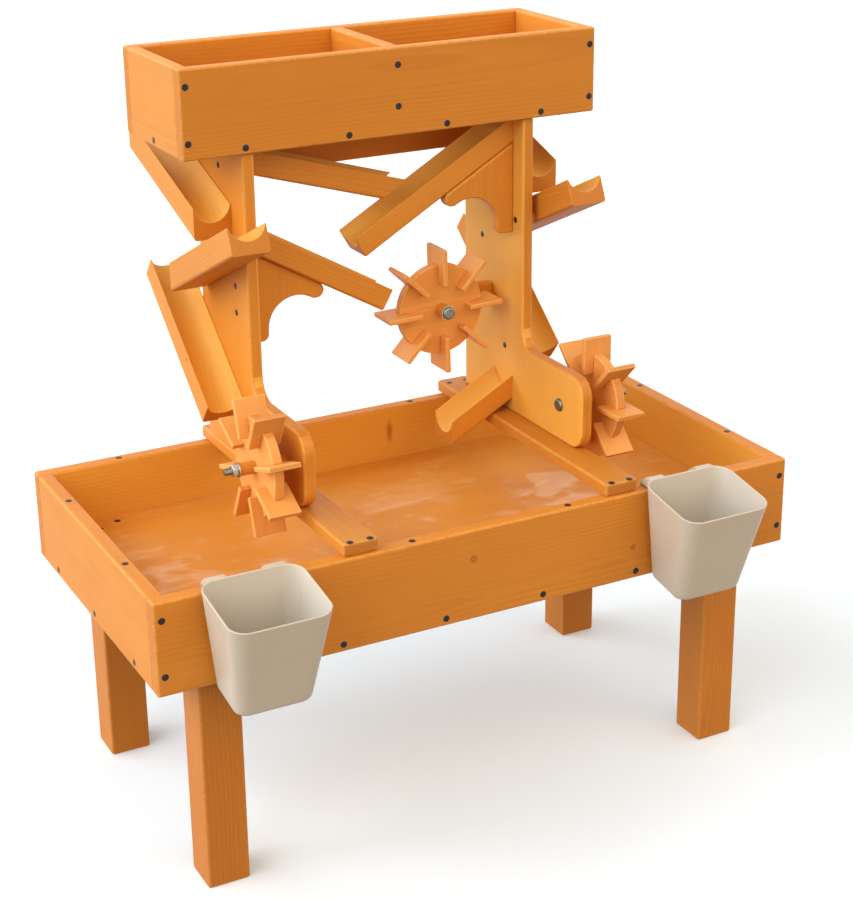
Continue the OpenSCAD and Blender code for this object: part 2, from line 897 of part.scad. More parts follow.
// Screws through the uprights into the troughs, brackets, rail and arm
module tower_screw_set() {
    left_bracket_y = lane_y - trough_w / 2 + left_bracket_in + bracket_t / 2;
    right_bracket_y = lane_y - trough_w / 2 + bracket_t / 2;
    for (sx = [-1, 1]) translate([tower_x, 0, 0]) mirror([sx < 0 ? 1 : 0, 0, 0]) {
        for (s = side_screws) translate([inner_x, s[0], s[1]])
            screw_east(s[2] + (sx > 0 ? right_packing : 0));
        for (z = [rail_screw_edge, rail_h - rail_screw_edge])
            translate([outer_x, post_back - upright_t / 2, header_z - z]) screw_west(rail_screw_l);
    }
    translate([tower_x - outer_x, first_y + first_screw_off, first_z + first_screw_up])
        screw_east(tower_screw_l);
    for (z = [bracket_screw_low, bracket_screw_low + bracket_screw_pitch]) {
        translate([tower_x - outer_x, left_bracket_y, third_z - bracket_h + z])
            screw_east(tower_screw_l);
        translate([tower_x + outer_x, right_bracket_y, second_z - bracket_h + z])
            screw_west(tower_screw_l);
    }
    translate([tower_x + outer_x, lane_y, second_z + inner_screw_up]) screw_west(inner_screw_l);
    translate([tower_x - outer_x, lane_y, third_z + inner_screw_up]) screw_east(inner_screw_l);
    translate([tower_x + outer_x, lane_y, foot_z - inner_trough_h / cos(foot_slope) + inner_screw_up])
        screw_west(inner_screw_l);
    for (d = [-arm_screw_pair, arm_screw_pair])
        translate([tower_x + outer_x, arm_y + arm_t / 2, middle_axle_z + d])
            screw_west(rail_screw_l);
}

// A wheel's disc about Z, with a slot from its rim for each paddle
module wheel_disc(turn) {
    difference() {
        translate([0, 0, -disc_t / 2]) cylinder(r = disc_r, h = disc_t);
        translate([0, 0, -disc_t / 2 - overrun])
            cylinder(r = axle_r + running, h = disc_t + 2 * overrun);
        for (i = [0:paddles - 1]) rotate([0, 0, turn + i * 360 / paddles])
            translate([lap_r, -paddle_t / 2, -disc_t / 2 - overrun])
                cube([disc_r, paddle_t, disc_t + 2 * overrun]);
    }
}

// The paddles about Z, each notched to straddle the disc
module wheel_paddles(turn, width) {
    for (i = [0:paddles - 1]) rotate([0, 0, turn + i * 360 / paddles]) difference() {
        translate([paddle_in, -paddle_t / 2, -width / 2])
            cube([wheel_r - paddle_in, paddle_t, width]);
        translate([paddle_in - overrun, -paddle_t, -disc_t / 2])
            cube([lap_r - paddle_in + overrun, 2 * paddle_t, disc_t]);
    }
}

// Places a wheel's parts, drawn about Z with the outer side up, on a side wheel's axis. Out is the
// distance of the wheel's disc from its upright.
module at_side_axle(out) {
    translate([outer_x + out + disc_t / 2, side_axle_y, side_axle_z]) rotate([0, 90, 0])
        rotate([0, 0, 180]) children();
}

// Places a wheel's parts, drawn about Z with the front side up, on the middle wheel's axis
module at_middle_axle() {
    translate([middle_axle_x, lane_y, middle_axle_z]) rotate([90, 0, 0]) children();
}

// A bolt about Z: its head ends low, its shank runs to high
module axle_bolt(low, high) {
    translate([0, 0, low - bolt_head_t]) cylinder(r = bolt_head_r, h = bolt_head_t);
    translate([0, 0, low]) cylinder(r = axle_r, h = high - low);
}

module ring(low, length, r) {
    translate([0, 0, low]) difference() {
        cylinder(r = r, h = length);
        translate([0, 0, -overrun]) cylinder(r = axle_r, h = length + 2 * overrun);
    }
}

module nut(low) {
    translate([0, 0, low]) difference() {
        cylinder(r = nut_flats / sqrt(3), h = nut_t, $fn = 6);
        translate([0, 0, -overrun]) cylinder(r = axle_r, h = nut_t + 2 * overrun);
    }
}

module side_bolt(out) {
    stack = spacer_in + outer_spacer + washer_t + nut_t;
    at_side_axle(out) axle_bolt(-disc_t / 2 - out - upright_t, stack + bolt_end);
}

module side_spacers(out) {
    at_side_axle(out) {
        ring(-disc_t / 2 - out, out - play, spacer_r);
        ring(spacer_in, outer_spacer, spacer_r);
    }
}

module side_washer(out) {
    at_side_axle(out) ring(spacer_in + outer_spacer, washer_t, washer_r);
}

module side_nut(out) {
    at_side_axle(out) nut(spacer_in + outer_spacer + washer_t);
}

module left_wheel_disc() {
    color("peru") left_of_tower() at_side_axle(left_wheel_out) wheel_disc(left_turn);
}

module left_wheel_paddles() {
    color("sandybrown") left_of_tower() at_side_axle(left_wheel_out)
        wheel_paddles(left_turn, side_paddle_w);
}

module left_axle_bolt() {
    color("silver") left_of_tower() side_bolt(left_wheel_out);
}

module left_axle_spacers() {
    color("burlywood") left_of_tower() side_spacers(left_wheel_out);
}

module left_axle_washer() {
    color("silver") left_of_tower() side_washer(left_wheel_out);
}

module left_axle_nut() {
    color("silver") left_of_tower() side_nut(left_wheel_out);
}

module right_wheel_disc() {
    color("peru") right_of_tower() at_side_axle(right_wheel_out) wheel_disc(right_turn);
}

module right_wheel_paddles() {
    color("sandybrown") right_of_tower() at_side_axle(right_wheel_out)
        wheel_paddles(right_turn, side_paddle_w);
}

module right_axle_bolt() {
    color("silver") right_of_tower() side_bolt(right_wheel_out);
}

module right_axle_spacers() {
    color("burlywood") right_of_tower() side_spacers(right_wheel_out);
}

module right_axle_washer() {
    color("silver") right_of_tower() side_washer(right_wheel_out);
}

module right_axle_nut() {
    color("silver") right_of_tower() side_nut(right_wheel_out);
}

module middle_wheel_disc() {
    color("peru") right_of_tower() at_middle_axle() wheel_disc(middle_turn);
}

module middle_wheel_paddles() {
    color("sandybrown") right_of_tower() at_middle_axle()
        wheel_paddles(middle_turn, middle_paddle_w);
}

// The middle bolt's head is at the front, so its stack runs the other way round
module middle_axle_bolt() {
    head_z = spacer_in + middle_front_spacer + washer_t;
    tail = spacer_in + middle_back_spacer + arm_t + nut_t + bolt_end;
    color("silver") right_of_tower() at_middle_axle() mirror([0, 0, 1]) axle_bolt(-head_z, tail);
}

module middle_axle_spacers() {
    color("burlywood") right_of_tower() at_middle_axle() {
        ring(spacer_in, middle_front_spacer, spacer_r);
        ring(-spacer_in - middle_back_spacer, middle_back_spacer, spacer_r);
    }
}

module middle_axle_washer() {
    color("silver") right_of_tower() at_middle_axle()
        ring(spacer_in + middle_front_spacer, washer_t, washer_r);
}

module middle_axle_nut() {
    color("silver") right_of_tower() at_middle_axle()
        nut(-spacer_in - middle_back_spacer - arm_t - nut_t);
}

// A thin rounded plate of a bucket's shell, its back edge on the base line
module bucket_plate(w, d, r, back, height) {
    translate([-w / 2, -back - d, height]) linear_extrude(plate_t) rounded([w, d], r, $fn = 32);
}

// Side view of a hook, with the bucket's back wall on the base line and the back rim at zero
module hook_outline() {
    leg_in = play + board_t + play;
    seat = play - bucket_up;
    polygon([
        [-bucket_wall / 2, 0],
        [leg_in / 2, -hook_t / 2],
        [leg_in + hook_t, seat + hook_t],
        [leg_in + hook_t, seat - hook_leg],
        [leg_in, seat - hook_leg],
        [leg_in, seat],
        [0, seat],
        [0, seat - hook_t],
        [-bucket_wall / 2, seat - hook_t]
    ]);
}

module bucket() {
    difference() {
        union() {
            rotate([bucket_tilt, 0, 0]) hull() {
                bucket_plate(bucket_w, bucket_d, mouth_r, 0, -plate_t);
                bucket_plate(bucket_base_w, bucket_base_d, base_r, base_back, -bucket_h);
            }
            for (d = [-hook_pitch / 2, hook_pitch / 2])
                translate([d - hook_w / 2, 0, 0]) rotate([90, 0, 90]) linear_extrude(hook_w)
                    hook_outline();
        }
        rotate([bucket_tilt, 0, 0]) hull() {
            bucket_plate(bucket_w - 2 * bucket_wall, bucket_d - 2 * bucket_wall,
                mouth_r - bucket_wall, bucket_wall, overrun);
            bucket_plate(bucket_base_w - 2 * bucket_wall, bucket_base_d - 2 * bucket_wall,
                base_r - bucket_wall, base_back + bucket_wall, bucket_wall - bucket_h);
        }
    }
}

module left_bucket() {
    color("ivory") in_frame() translate([-left_bucket_x, bucket_y, bucket_z]) bucket();
}

module right_bucket() {
    color("ivory") in_frame() translate([right_bucket_x, bucket_y, bucket_z]) bucket();
}

module tray_screws() {
    color("dimgray") in_frame() tray_screw_set();
}

module floor_screws() {
    color("dimgray") in_frame() floor_screw_set();
}

module plank_screws() {
    color("dimgray") in_frame() plank_screw_set();
}

module header_screws() {
    color("dimgray") in_frame() header_screw_set();
}

module tower_screws() {
    color("dimgray") in_frame() tower_screw_set();
}

tray_front_board();
tray_back_board();
tray_left_board();
tray_right_board();
tray_floor();
floor_cleats();
leg_front_left();
leg_front_right();
leg_back_left();
leg_back_right();
plank_left();
plank_right();
upright_left();
upright_right();
back_rail();
header_front_board();
header_back_board();
header_left_board();
header_right_board();
header_divider();
header_floor();
upper_trough_left();
upper_trough_right();
middle_trough_left();
middle_trough_right();
lower_trough_left();
lower_trough_right();
right_trough_spacers();
first_inner_trough();
second_inner_trough();
third_inner_trough();
foot_trough();
bracket_left();
bracket_right();
wheel_arm();
left_wheel_disc();
left_wheel_paddles();
left_axle_bolt();
left_axle_spacers();
left_axle_washer();
left_axle_nut();
right_wheel_disc();
right_wheel_paddles();
right_axle_bolt();
right_axle_spacers();
right_axle_washer();
right_axle_nut();
middle_wheel_disc();
middle_wheel_paddles();
middle_axle_bolt();
middle_axle_spacers();
middle_axle_washer();
middle_axle_nut();
left_bucket();
right_bucket();
tray_screws();
floor_screws();
plank_screws();
header_screws();
tower_screws();
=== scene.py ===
import math
import random

import bmesh
import bpy
from mathutils import Matrix, Vector


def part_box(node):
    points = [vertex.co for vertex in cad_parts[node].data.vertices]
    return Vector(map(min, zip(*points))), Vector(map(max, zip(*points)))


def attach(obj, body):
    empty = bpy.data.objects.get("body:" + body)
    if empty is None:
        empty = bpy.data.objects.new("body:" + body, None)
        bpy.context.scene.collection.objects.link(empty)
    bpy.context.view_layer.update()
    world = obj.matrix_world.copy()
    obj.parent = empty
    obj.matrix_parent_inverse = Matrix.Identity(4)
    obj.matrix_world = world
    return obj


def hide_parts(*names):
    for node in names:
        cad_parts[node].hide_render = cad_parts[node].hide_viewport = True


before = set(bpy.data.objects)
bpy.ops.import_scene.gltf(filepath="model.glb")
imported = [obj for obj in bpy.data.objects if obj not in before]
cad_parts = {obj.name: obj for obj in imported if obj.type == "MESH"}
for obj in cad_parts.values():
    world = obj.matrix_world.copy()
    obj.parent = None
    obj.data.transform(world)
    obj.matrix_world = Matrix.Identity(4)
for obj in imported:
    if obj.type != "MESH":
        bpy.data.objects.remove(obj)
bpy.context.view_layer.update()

MM = 0.001
EAST = Vector((1, 0, 0))
NORTH = Vector((0, 1, 0))
UP = Vector((0, 0, 1))

# How wide the edges are sanded round, and in how many facets
BOARD_EDGE = 2.8 * MM
POST_EDGE = 3 * MM
FLOOR_EDGE = 1 * MM
TROUGH_EDGE = 0.6 * MM
DISC_EDGE = 1.4 * MM
PADDLE_EDGE = 1.2 * MM
SPACER_EDGE = 0.8 * MM
EDGE_STEPS = 3
# Only edges that turn by more than this are sanded
SANDED_TURN = math.radians(30)
# The facets of a drilled hole's wall are narrower than this, and turn inwards by these angles
BORE_FACET = 0.72 * MM
BORE_TURN = (math.radians(2), math.radians(12))
SAME_POINT = 0.002 * MM
SAME_PLANE = math.radians(0.6)
SMOOTH_TURN = math.radians(32)
# A face that looks along the grain by more than this shows end grain
END_ON = 0.8
# Two places nearer than this are meant to be one
NEARLY = 0.2 * MM
# A face looks along an axis if its normal's share of it is more than this
SQUARE_ON = 0.9

# Where in its log a board was sawn: how far along, how far sideways as a share of its half
# width, and how far from the heart
LOG_LENGTH = 4
LOG_SHIFT = 0.7
LOG_HEART = (0.012, 0.045)
# A face with part of its own board this far in front of it lies in a groove
GROOVE_DEEP = 2 * MM
# Steeper faces than this are walls
WALL_RISE = 0.5

# How steeply the troughs lie
UPPER_SLOPE = math.radians(18.3)
MIDDLE_SLOPE = math.radians(24.6)
LOWER_SLOPE = math.radians(39.5)
FIRST_SLOPE = math.radians(16.5)
INNER_SLOPE = math.radians(29.9)
FOOT_SLOPE = math.radians(28.5)


# --- Modelling --------------------------------------------------------------------------

def take(piece):
    """Makes the piece the only one that is worked on."""
    bpy.ops.object.select_all(action="DESELECT")
    piece.select_set(True)
    bpy.context.view_layer.objects.active = piece


def open_up(piece, kind):
    """Goes into the piece's edit mode with nothing selected. Kind is VERT, EDGE or FACE."""
    take(piece)
    bpy.ops.object.mode_set(mode="EDIT")
    bpy.ops.mesh.select_mode(type=kind)
    bpy.ops.mesh.select_all(action="DESELECT")


def close_up():
    bpy.ops.object.mode_set(mode="OBJECT")


def pick(piece, kind, wanted):
    """Selects the piece's verts, edges or faces for which wanted is true."""
    mesh = bmesh.from_edit_mesh(piece.data)
    for item in getattr(mesh, kind):
        item.select_set(bool(wanted(item)))
    mesh.select_flush_mode()
    bmesh.update_edit_mesh(piece.data)


def select_all():
    bpy.ops.mesh.select_all(action="SELECT")


def make_flat():
    """Joins neighbouring faces that lie in one plane, and turns every face outwards."""
    select_all()
    bpy.ops.mesh.dissolve_limited(angle_limit=SAME_PLANE)
    bpy.ops.mesh.normals_make_consistent(inside=False)


def settled():
    """The active piece, with its place, turn and size put into its mesh."""
    bpy.ops.object.transform_apply(location=True, rotation=True, scale=True)
    return bpy.context.active_object


def store(mesh, name, values, kind="FLOAT", domain="FACE"):
    """Keeps a value for each face or point of the mesh, for its finish to read."""
    field = "vector" if kind == "FLOAT_VECTOR" else "value"
    mesh.attributes.new(name, kind, domain).data.foreach_set(field, values)


def looks_up(face):
    return face.normal.z > SQUARE_ON


def looks_down(face):
    return face.normal.z < -SQUARE_ON


def merged_copy(node):
    """A copy of a solid, its loose triangles joined into whole faces."""
    piece = bpy.data.objects.new(node + "_made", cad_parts[node].data.copy())
    bpy.context.scene.collection.objects.link(piece)
    piece.data.materials.clear()
    open_up(piece, "VERT")
    select_all()
    bpy.ops.mesh.remove_doubles(threshold=SAME_POINT)
    make_flat()
    close_up()
    return piece


def is_bore_wall(face):
    """True for a narrow facet of a drilled hole's wall."""
    turns = [
        edge for edge in face.edges if len(edge.link_faces) == 2
        and BORE_TURN[0] < -edge.calc_face_angle_signed(0) < BORE_TURN[1]]
    if len(turns) < 2:
        return False
    return face.calc_area() < BORE_FACET * max(edge.calc_length() for edge in turns)


def undrilled(node):
    """A copy of a solid as it is before its holes for screws and axles are drilled."""
    piece = merged_copy(node)
    solids = len(islands(piece.data))
    open_up(piece, "FACE")
    pick(piece, "faces", is_bore_wall)
    bpy.ops.mesh.delete(type="FACE")
    close_up()
    shells = islands(piece.data)
    shells.sort(key=lambda shell: span(piece.data, shell), reverse=True)
    loose = {i for shell in shells[solids:] for i in shell}
    open_up(piece, "VERT")
    pick(piece, "verts", lambda vert: vert.index in loose)
    bpy.ops.mesh.delete(type="VERT")
    select_all()
    bpy.ops.mesh.fill_holes(sides=0)
    make_flat()
    close_up()
    return piece


def whole(node):
    """A plain board without the holes that break through its end."""
    piece = merged_copy(node)
    open_up(piece, "VERT")
    select_all()
    bpy.ops.mesh.convex_hull()
    make_flat()
    close_up()
    return piece


def span(mesh, members):
    """The length of the box round these points."""
    points = [mesh.vertices[i].co for i in members]
    return Vector([extent(points, way) for way in (EAST, NORTH, UP)]).length


def is_outer_edge(edge):
    """True for a corner that sandpaper reaches, and false for the rim of a drilled hole."""
    if len(edge.link_faces) != 2 or edge.calc_face_angle_signed(0) < SANDED_TURN:
        return False
    return not any(is_bore_wall(face) for face in edge.link_faces)


def sand(piece, radius, steps=EDGE_STEPS, wanted=is_outer_edge):
    """Rounds the piece's outer edges, and puts the new faces in its second material slot."""
    while len(piece.data.materials) < 2:
        piece.data.materials.append(None)
    open_up(piece, "EDGE")
    pick(piece, "edges", wanted)
    bpy.ops.mesh.bevel(
        offset=radius, offset_type="OFFSET", segments=steps, profile=0.5,
        clamp_overlap=False, loop_slide=False, material=1)
    close_up()


def smooth(piece, turn=SMOOTH_TURN):
    """Shades round faces round and keeps the flat ones flat."""
    take(piece)
    bpy.ops.object.shade_smooth_by_angle(angle=turn)
    even = piece.modifiers.new("even", "WEIGHTED_NORMAL")
    even.keep_sharp = True
    bpy.ops.object.modifier_apply(modifier="even")


def islands(mesh):
    """The mesh's separate solids, as lists of vertex indices."""
    group = list(range(len(mesh.vertices)))

    def head(i):
        while group[i] != i:
            group[i] = group[group[i]]
            i = group[i]
        return i

    for edge in mesh.edges:
        a, b = head(edge.vertices[0]), head(edge.vertices[1])
        group[a] = b
    found = {}
    for i in range(len(group)):
        found.setdefault(head(i), []).append(i)
    return list(found.values())


def extent(points, way):
    along = [p.dot(way) for p in points]
    return max(along) - min(along)


def lay_grain(piece, along):
    """Stores where each point lies in the log that its board was sawn from, lengthwise first.

    Along is the direction of the grain, or a function from a solid's middle and points to it.
    """
    mesh = piece.data
    grain = [Vector()] * len(mesh.vertices)
    tone = [0.0] * len(mesh.vertices)
    ways = [Vector()] * len(mesh.vertices)
    chance = random.Random(piece.name)
    for members in islands(mesh):
        points = [mesh.vertices[i].co for i in members]
        middle = sum(points, Vector()) / len(points)
        way = along(middle, points) if callable(along) else along
        side = way.cross(UP if abs(way.z) < SQUARE_ON else NORTH).normalized()
        face = way.cross(side)
        if extent(points, face) > extent(points, side):
            side, face = face, side
        half = extent(points, side) / 2
        start = Vector((
            chance.uniform(0, LOG_LENGTH), chance.uniform(-LOG_SHIFT, LOG_SHIFT) * half,
            chance.choice((-1, 1)) * chance.uniform(*LOG_HEART)))
        shade = chance.uniform(-1, 1)
        for i, point in zip(members, points):
            off = point - middle
            grain[i] = Vector((off.dot(way), off.dot(side), off.dot(face))) + start
            tone[i] = shade
            ways[i] = way
    ends = [
        float(abs(face.normal.dot(ways[face.vertices[0]])) > END_ON) for face in mesh.polygons]
    spots = [number for spot in grain for number in spot]
    store(mesh, "grain", spots, "FLOAT_VECTOR", "POINT")
    store(mesh, "tone", tone, "FLOAT", "POINT")
    store(mesh, "end", ends)


def lay_wash(piece, basin, grooved):
    """Stores which faces are painted paler as painted light: those of a groove, and walls that
    look at a basin.
    """
    mesh = piece.data
    points = [vertex.co for vertex in mesh.vertices]

    def is_washed(face):
        in_groove = grooved and GROOVE_DEEP < max(
            (point - face.center).dot(face.normal) for point in points)
        at_basin = basin is not None and abs(face.normal.z) < WALL_RISE and (
            (basin - face.center).dot(face.normal) > 0)
        return float(in_groove or at_basin)

    store(mesh, "washed", [is_washed(face) for face in mesh.polygons])


def longest_side(middle, points):
    return max((EAST, NORTH, UP), key=lambda way: extent(points, way))


# --- Finishes ---------------------------------------------------------------------------

class Reading:
    """A value that varies over a surface. Sums with it add nodes to its finish."""

    def __init__(self, finish, socket):
        self.finish = finish
        self.socket = socket

    def sum_with(self, operation, *values):
        return self.finish.add(
            "ShaderNodeMath", {"operation": operation}, dict(enumerate(values)))

    def __add__(self, other):
        return self.sum_with("ADD", self, other)

    def __radd__(self, other):
        return self.sum_with("ADD", other, self)

    def __sub__(self, other):
        return self.sum_with("SUBTRACT", self, other)

    def __rsub__(self, other):
        return self.sum_with("SUBTRACT", other, self)

    def __mul__(self, other):
        return self.sum_with("MULTIPLY", self, other)

    def __rmul__(self, other):
        return self.sum_with("MULTIPLY", other, self)

    def __truediv__(self, other):
        return self.sum_with("DIVIDE", self, other)

    def __rtruediv__(self, other):
        return self.sum_with("DIVIDE", other, self)

    def __pow__(self, other):
        return self.sum_with("POWER", self, other)

    def __rpow__(self, other):
        return self.sum_with("POWER", other, self)

    def fraction(self):
        return self.sum_with("FRACT", self)

    def at_least(self, other):
        return self.sum_with("MAXIMUM", self, other)

    def at_most(self, other):
        return self.sum_with("MINIMUM", self, other)


class Finish:
    """A material that is built up from nodes."""

    def __init__(self, name):
        self.material = bpy.data.materials.new(name)
        self.material.use_nodes = True
        self.tree = self.material.node_tree
        self.tree.nodes.clear()

    def add(self, kind, settings, sockets, result=0):
        """Adds a node, its settings first, then the values or readings of its sockets."""
        node = self.tree.nodes.new(kind)
        for name, value in settings.items():
            setattr(node, name, value)
        for name, value in sockets.items():
            if isinstance(value, Reading):
                self.tree.links.new(value.socket, node.inputs[name])
            else:
                node.inputs[name].default_value = value
        return Reading(self, node.outputs[result]) if node.outputs else None

    def place(self):
        """The point on the object, in metres."""
        return self.add("ShaderNodeTexCoord", {}, {}, "Object")

    def stored(self, name, result="Fac"):
        return self.add("ShaderNodeAttribute", {"attribute_name": name}, {}, result)

    def on_vectors(self, operation, where, other):
        return self.add(
            "ShaderNodeVectorMath", {"operation": operation}, {0: where, 1: other})

    def stretched(self, where, factors):
        return self.on_vectors("MULTIPLY", where, factors)

    def moved(self, where, by):
        return self.on_vectors("ADD", where, by)

    def length(self, where):
        return self.add("ShaderNodeVectorMath", {"operation": "LENGTH"}, {0: where}, "Value")

    def parts(self, where):
        """The three numbers of a point."""
        first = self.add("ShaderNodeSeparateXYZ", {}, {0: where})
        node = first.socket.node
        return first, Reading(self, node.outputs[1]), Reading(self, node.outputs[2])

    def cloud(self, where, scale, detail=2, rough=0.5, swirl=0):
        """Soft random light and dark, about 0 to 1."""
        return self.add("ShaderNodeTexNoise", {}, {
            "Vector": where, "Scale": scale, "Detail": detail, "Roughness": rough,
            "Distortion": swirl})

    def ease(self, value, low, high):
        """0 up to low and 1 from high on, with a soft step between them."""
        return self.add("ShaderNodeMapRange", {"interpolation_type": "SMOOTHSTEP"}, {
            "Value": value, "From Min": low, "From Max": high, "To Min": 0, "To Max": 1})

    def blend(self, share, one, other):
        """A colour between one, at share 0, and the other, at share 1."""
        return self.add(
            "ShaderNodeMix", {"data_type": "RGBA"}, {0: share, 6: one, 7: other}, 2)

    def relief(self, height, depth):
        return self.add("ShaderNodeBump", {}, {"Height": height, "Distance": depth}, "Normal")

    def coat(self, sockets):
        """Ends the finish in its surface, with the values of the surface's sockets."""
        surface = self.add("ShaderNodeBsdfPrincipled", {}, sockets)
        self.add("ShaderNodeOutputMaterial", {}, {"Surface": surface})
        return self.material


def colour(red, green, blue):
    return (red, green, blue, 1)


def tinted(shade, factors, more_blue=0):
    """A colour made from a shade by a factor on each of its parts."""
    red, green, blue = [part * factor for part, factor in zip(shade, factors)]
    return colour(red, green, blue + more_blue)


# Patterns in wood, in waves to the metre along the grain and twice across it
LOG_BEND = (2.2, 9, 9)
RING_RIPPLE = (9, 60, 60)
RING_FADE = (2, 26, 26)
FIBRES = (7, 420, 420)
HAIRS = (30, 1500, 1500)
BROAD_BANDS = (3, 11, 11)
# Patterns that don't follow the grain
PATCHES = 14
PATCHES_FROM = (7, 3, 5)
PORES = 900
RUB_AND_HIGHLIGHT_MARKS = 190
POOLS = 8.5
POOL_SHAPE = (1, 1.7, 0.3)
DROPS = 42
DROPS_FROM = (2, 9, 4)
SHEEN_SPOTS = 30
SHEEN_SHAPE = (1, 2.6, 0.3)
# How wide the wet strip along a wall is, from where it starts to dry to where it ends
SHORE = (3 * MM, 17 * MM)
# How far rings stray from circles, and how much they widen for each metre of the log
BEND_REACH = 30 * MM
RIPPLE_REACH = 2.5 * MM
LOG_TAPER = 0.006
# Where between two rings late wood comes in, and where it ends
RING_DARKENS = (0.15, 0.82)
RING_ENDS = (0.84, 1)
RING_FADES = (0.3, 0.7)
# Where in its pattern each kind of spot begins, and from where it is whole: wet film, drops,
# the painted sheen on wet patches, and sanded edges with their painted highlight
FILM_EDGE = (0.52, 0.6)
DROP_EDGE = (0.58, 0.68)
SHEEN_EDGE = (0.5, 0.7)
RUB_AND_HIGHLIGHT_EDGE = (0.3, 0.62)
# How high rings and fibres stand
WOOD_RELIEF = 0.16 * MM

# What the red, green and blue of a stain are multiplied by, and the blue that is added
KNOT_TINT = (0.42, 0.3, 0.5)
STREAK_TINT = (0.5, 0.36, 0.6)
END_TINT = (0.8, 0.72, 0.9)
# Sanded edges are painted paler: partly thinner stain, partly a painted highlight
RUBBED_HIGHLIGHT_TINT = (1.08, 1.4, 1.4)
RUBBED_HIGHLIGHT_BLUE = 0.05
# Painted light: faces in grooves and walls that look inwards are painted paler and less
# orange, as if more brightly lit
LIT_INNER_PALE = (1.13, 1.5, 2.4)
LIT_INNER_DEEP = (1.27, 1.85, 3.4)
# Painted sheen: wet patches are painted paler and pinker, as a painted reflection of the white
# room
FILM_SHEEN_TINT = (1.16, 1.7, 1)
FILM_SHEEN_BLUE = 0.16


def distance(finish, here, middle, cut):
    """How far a point is from the middle, with space stretched by cut."""
    off = finish.moved(here, [-c for c in middle])
    return finish.length(finish.stretched(off, cut))


def growth_rings(finish, here, grain, ring, knots):
    """How far late wood shows at a point, and how far a knot does, if there is any."""
    # The rings wander slowly along the log
    bend = finish.cloud(finish.stretched(grain, LOG_BEND), 1)
    ripple = finish.cloud(finish.stretched(grain, RING_RIPPLE), 1)
    lengthwise, side, depth = finish.parts(grain)
    around = (side * side + depth * depth) ** 0.5
    radius = around + bend * BEND_REACH + ripple * RIPPLE_REACH + lengthwise * LOG_TAPER
    knot_mask = None
    for middle, size, cut in knots:
        reach = distance(finish, here, middle, cut)
        swirl = 1 - finish.ease(reach, 0, 5 * size)
        radius = radius + swirl * (1.6 * ring)
        spot = 1 - finish.ease(reach, 0.55 * size, 1.15 * size)
        heart = finish.ease(reach, 0.1 * size, 0.85 * size)
        core = spot * (0.45 + heart * 0.55)
        knot_mask = core if knot_mask is None else knot_mask + core

    # Each ring darkens slowly and ends at once
    turn = (radius / ring).fraction()
    late = finish.ease(turn, *RING_DARKENS) * (1 - finish.ease(turn, *RING_ENDS))
    fade = finish.cloud(finish.stretched(grain, RING_FADE), 1)
    return late * finish.ease(fade, *RING_FADES), knot_mask


def standing_water(finish, here, wall):
    """How wet a floor is at a point, and where a painted sheen lies on the wet patches. Wall
    is its shore.
    """
    pool = finish.cloud(finish.stretched(here, POOL_SHAPE), POOLS, 3, 0.5, 0.6)
    film = finish.ease(pool, *FILM_EDGE)
    drops = finish.ease(finish.cloud(finish.moved(here, DROPS_FROM), DROPS), *DROP_EDGE)
    shore = (1 - finish.ease(wall - finish.parts(here)[1], *SHORE)) * (0.35 + film * 0.65)
    water = (film + drops * (1 - film) * 0.6).at_least(shore * 0.8)
    wet_sheen = finish.cloud(finish.stretched(here, SHEEN_SHAPE), SHEEN_SPOTS, 4, 0.6)
    return water, finish.ease(wet_sheen, *SHEEN_EDGE)


